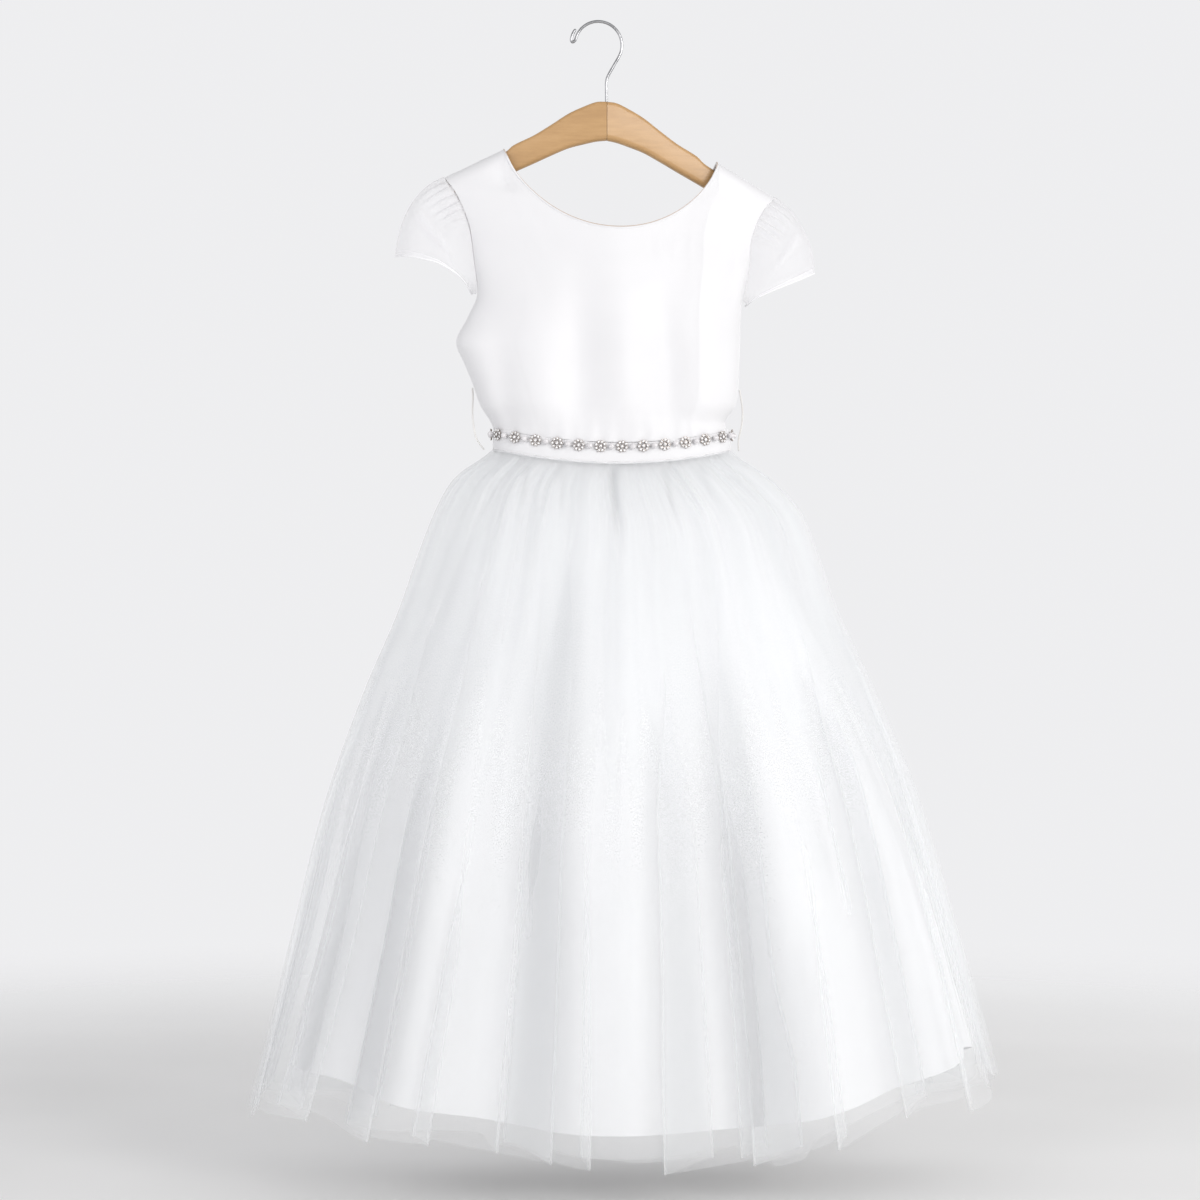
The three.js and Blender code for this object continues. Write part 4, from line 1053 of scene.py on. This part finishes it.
# near, far: how far inside the outline a layer lies at the waist and at the hem; flute,
# ripple, gather: its broad, middle and fine waves; long: its length against the outer layer's
OUTER = {"near": 0, "far": 0, "flute": 1, "ripple": 4.6, "gather": 3.2}
UNDER = {"near": 5.5, "far": 9.5, "flute": 1, "ripple": 2.8, "gather": 1, "long": 0.985}
INNER = {"near": 0, "far": 0, "flute": 0.85, "ripple": 0.9, "gather": 0.35}
BACK_TURNS = [-160, -147, -133, -121, -108, -96, -84, 86, 99, 112, 126, 139, 153, 166]


def make_skirt():
    folds = FRONT_FOLDS + hidden_folds(SEED, BACK_TURNS)
    place, t = once_round(1000, 84)
    build = Build()
    grid, doubled = skirt_points(SKIRT, "tulle", place, t, folds, SEED, **OUTER)
    build.grid(grid, closed=True, size=(3600, 665), doubled=doubled)
    outer = build.finish("outer_tulle", TULLE, ["tulle_outer"])

    inner_folds = hidden_folds(SEED + 5, np.arange(-165, 170, 25) + 4)
    inner_folds = [fold for fold in inner_folds if abs(fold[0]) < 170 and abs(fold[1]) < 170]
    place, t = once_round(840, 64)
    build = Build()
    grid, doubled = skirt_points(SKIRT, "tulle", place, t, inner_folds, SEED + 9, **UNDER)
    build.grid(grid, closed=True, size=(3200, 665), doubled=doubled)
    under = build.finish("under_tulle", TULLE, ["tulle_under"])

    place, t = once_round(420, 90)
    build = Build()
    grid, _ = skirt_points(LINING, "lining", place, t, [], SEED + 17, **INNER)
    build.wall(grid, LINING_WALL, (1400, 620), closed=True)
    lining = build.finish("satin_lining", LINING_SATIN, ["skirt_lining"])


# ---- belt loops and buttons ----
def make_belt_loops():
    for hand, name in ((-1, "belt_loop_left"), (1, "belt_loop_right")):
        upper, middle, lower = (float(half_at(hand, drop)) for drop in (366, 376, 383))
        spots = [
            (upper + 2.4, 366),
            (middle + 5.2, 376),
            (lower + 8.5, 389),
            (lower + 7.5, 402),
            (lower + 4.5, 416),
            (WAIST["half"] + 9.5, 427),
        ]
        path = smooth_path([(hand * x, 2, drop) for x, drop in spots], 24)
        build = Build()
        turns = np.linspace(0, 2 * math.pi * 17, len(path))
        for phase in (0, math.pi):
            x = path[:, 0] + 0.5 * np.cos(turns + phase)
            y = path[:, 1] + 0.5 * np.sin(turns + phase)
            build.tube(hung(x, y, path[:, 2]), 0.55, 6)
        build.finish(name.replace("belt_loop", "cord_loop"), THREAD, [name])


def make_buttons():
    for i in range(1, 5):
        name = f"button_{i}"
        low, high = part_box(name)
        middle = (low + high) / 2 * 1000
        face = low.y * 1000
        radius = (high.x - low.x) * 500
        tall = (high.y - low.y) * 1000
        dome = [(radius * 0.84, 0), (radius, tall * 0.22), (radius * 1.0, tall * 0.4)]
        for angle in np.linspace(0.3, 1.45, 7):
            dome.append((radius * math.cos(angle), tall * (0.4 + 0.6 * math.sin(angle))))
        points, faces = lathe(dome, 28)
        points = np.stack([points[:, 0], points[:, 2], points[:, 1]], -1)
        points += [middle.x, face, middle.z]
        build = Build()
        build.add(points, [tuple(reversed(f)) for f in faces])
        loop = []
        reach = radius * 1.12
        for angle in np.linspace(-0.5 * math.pi, 0.5 * math.pi, 20):
            x = middle.x - reach * math.cos(angle) * 1.05
            loop.append((x, face + 0.8, middle.z + reach * math.sin(angle)))
        start = (middle.x + 5.6, face + 0.4, middle.z - 1.2)
        end = (middle.x + 5.6, face + 0.4, middle.z + 1.2)
        build.tube(smooth_path([start, *loop[::3], end], 6), 0.45, 6, kind=1)
        build.finish("covered_" + name, [SATIN, THREAD], [name])


# ---- hanger ----
def make_hanger():
    corner = 4.2
    for hand, name in ((-1, "hanger_arm_left"), (1, "hanger_arm_right")):
        rounded = ARM_END - 3 * (1 - np.sin(np.linspace(0.2, 1.5, 9)))
        xs = np.concatenate([np.linspace(0.2, ARM_END - 3, 70), rounded])
        rings = []
        for x in xs:
            top = read(ARM, "x", x, "top")
            bottom = read(ARM, "x", x, "bottom")
            near_end = np.clip((x - (ARM_END - 6)) / 6, 0, 1)
            shrink = math.sqrt(max(0.02, 1 - near_end**2 * 0.85))
            half_high = (bottom - top) / 2 * (0.55 + 0.45 * shrink)
            half_thick = ARM_THICK / 2 * (0.4 + 0.6 * shrink)
            points = []
            for k in range(4):
                sign_y = (1, -1, -1, 1)[k]
                sign_z = (1, 1, -1, -1)[k]
                r = min(corner if sign_z > 0 else 1.45 * corner, half_thick * 0.9)
                for angle in np.linspace(0, math.pi / 2, 7) + k * math.pi / 2:
                    y = sign_y * (half_thick - r) + r * math.cos(angle)
                    z = sign_z * (half_high - r) + r * math.sin(angle)
                    points.append((hand * x, SWEEP * x + y, -(top + bottom) / 2 + z - TILT * hand * x))
            rings.append(points)
        grid = np.array(rings) + [HANGER_X, 0, 0]
        build = Build()
        build.grid(grid, closed=True)
        count = grid.shape[1]
        for end in (grid[0], grid[-1]):
            build.add(end, [tuple(range(count))], flat=True)
        build.finish(name.replace("hanger_arm", "wood_arm"), WOOD, [name])


def make_hook():
    def on_crown(degrees, radius=HOOK_RADIUS):
        angle = math.radians(degrees)
        return (radius * math.cos(angle), 0, WIRE - HOOK_RADIUS + radius * math.sin(angle))

    points = [(HANGER_X + x, 0, z) for x, z in ((0, -78.6), (0, -68), (0, -59), (1.6, -53), (6.8, -43.5))]
    points += [on_crown(degrees) for degrees in range(-27, 166, 16)]
    points += [
        on_crown(degrees, HOOK_RADIUS + out)
        for degrees, out in ((171, 0.6), (174.5, 2.6), (170, 4.2), (158, 4.4), (146, 4.2))
    ]
    path = smooth_path(points, 10)
    radius = np.full(len(path), float(WIRE))
    radius[-5:] = WIRE * np.sqrt(1 - np.linspace(0, 0.9, 5) ** 2)
    build = Build()
    build.tube(path, radius, 18)
    build.finish("wire_hook", CHROME, ["hook"])


make_stage()
make_bodice()
make_sleeves()
make_waistband()
make_trim()
make_skirt()
make_belt_loops()
make_buttons()
make_hanger()
make_hook()
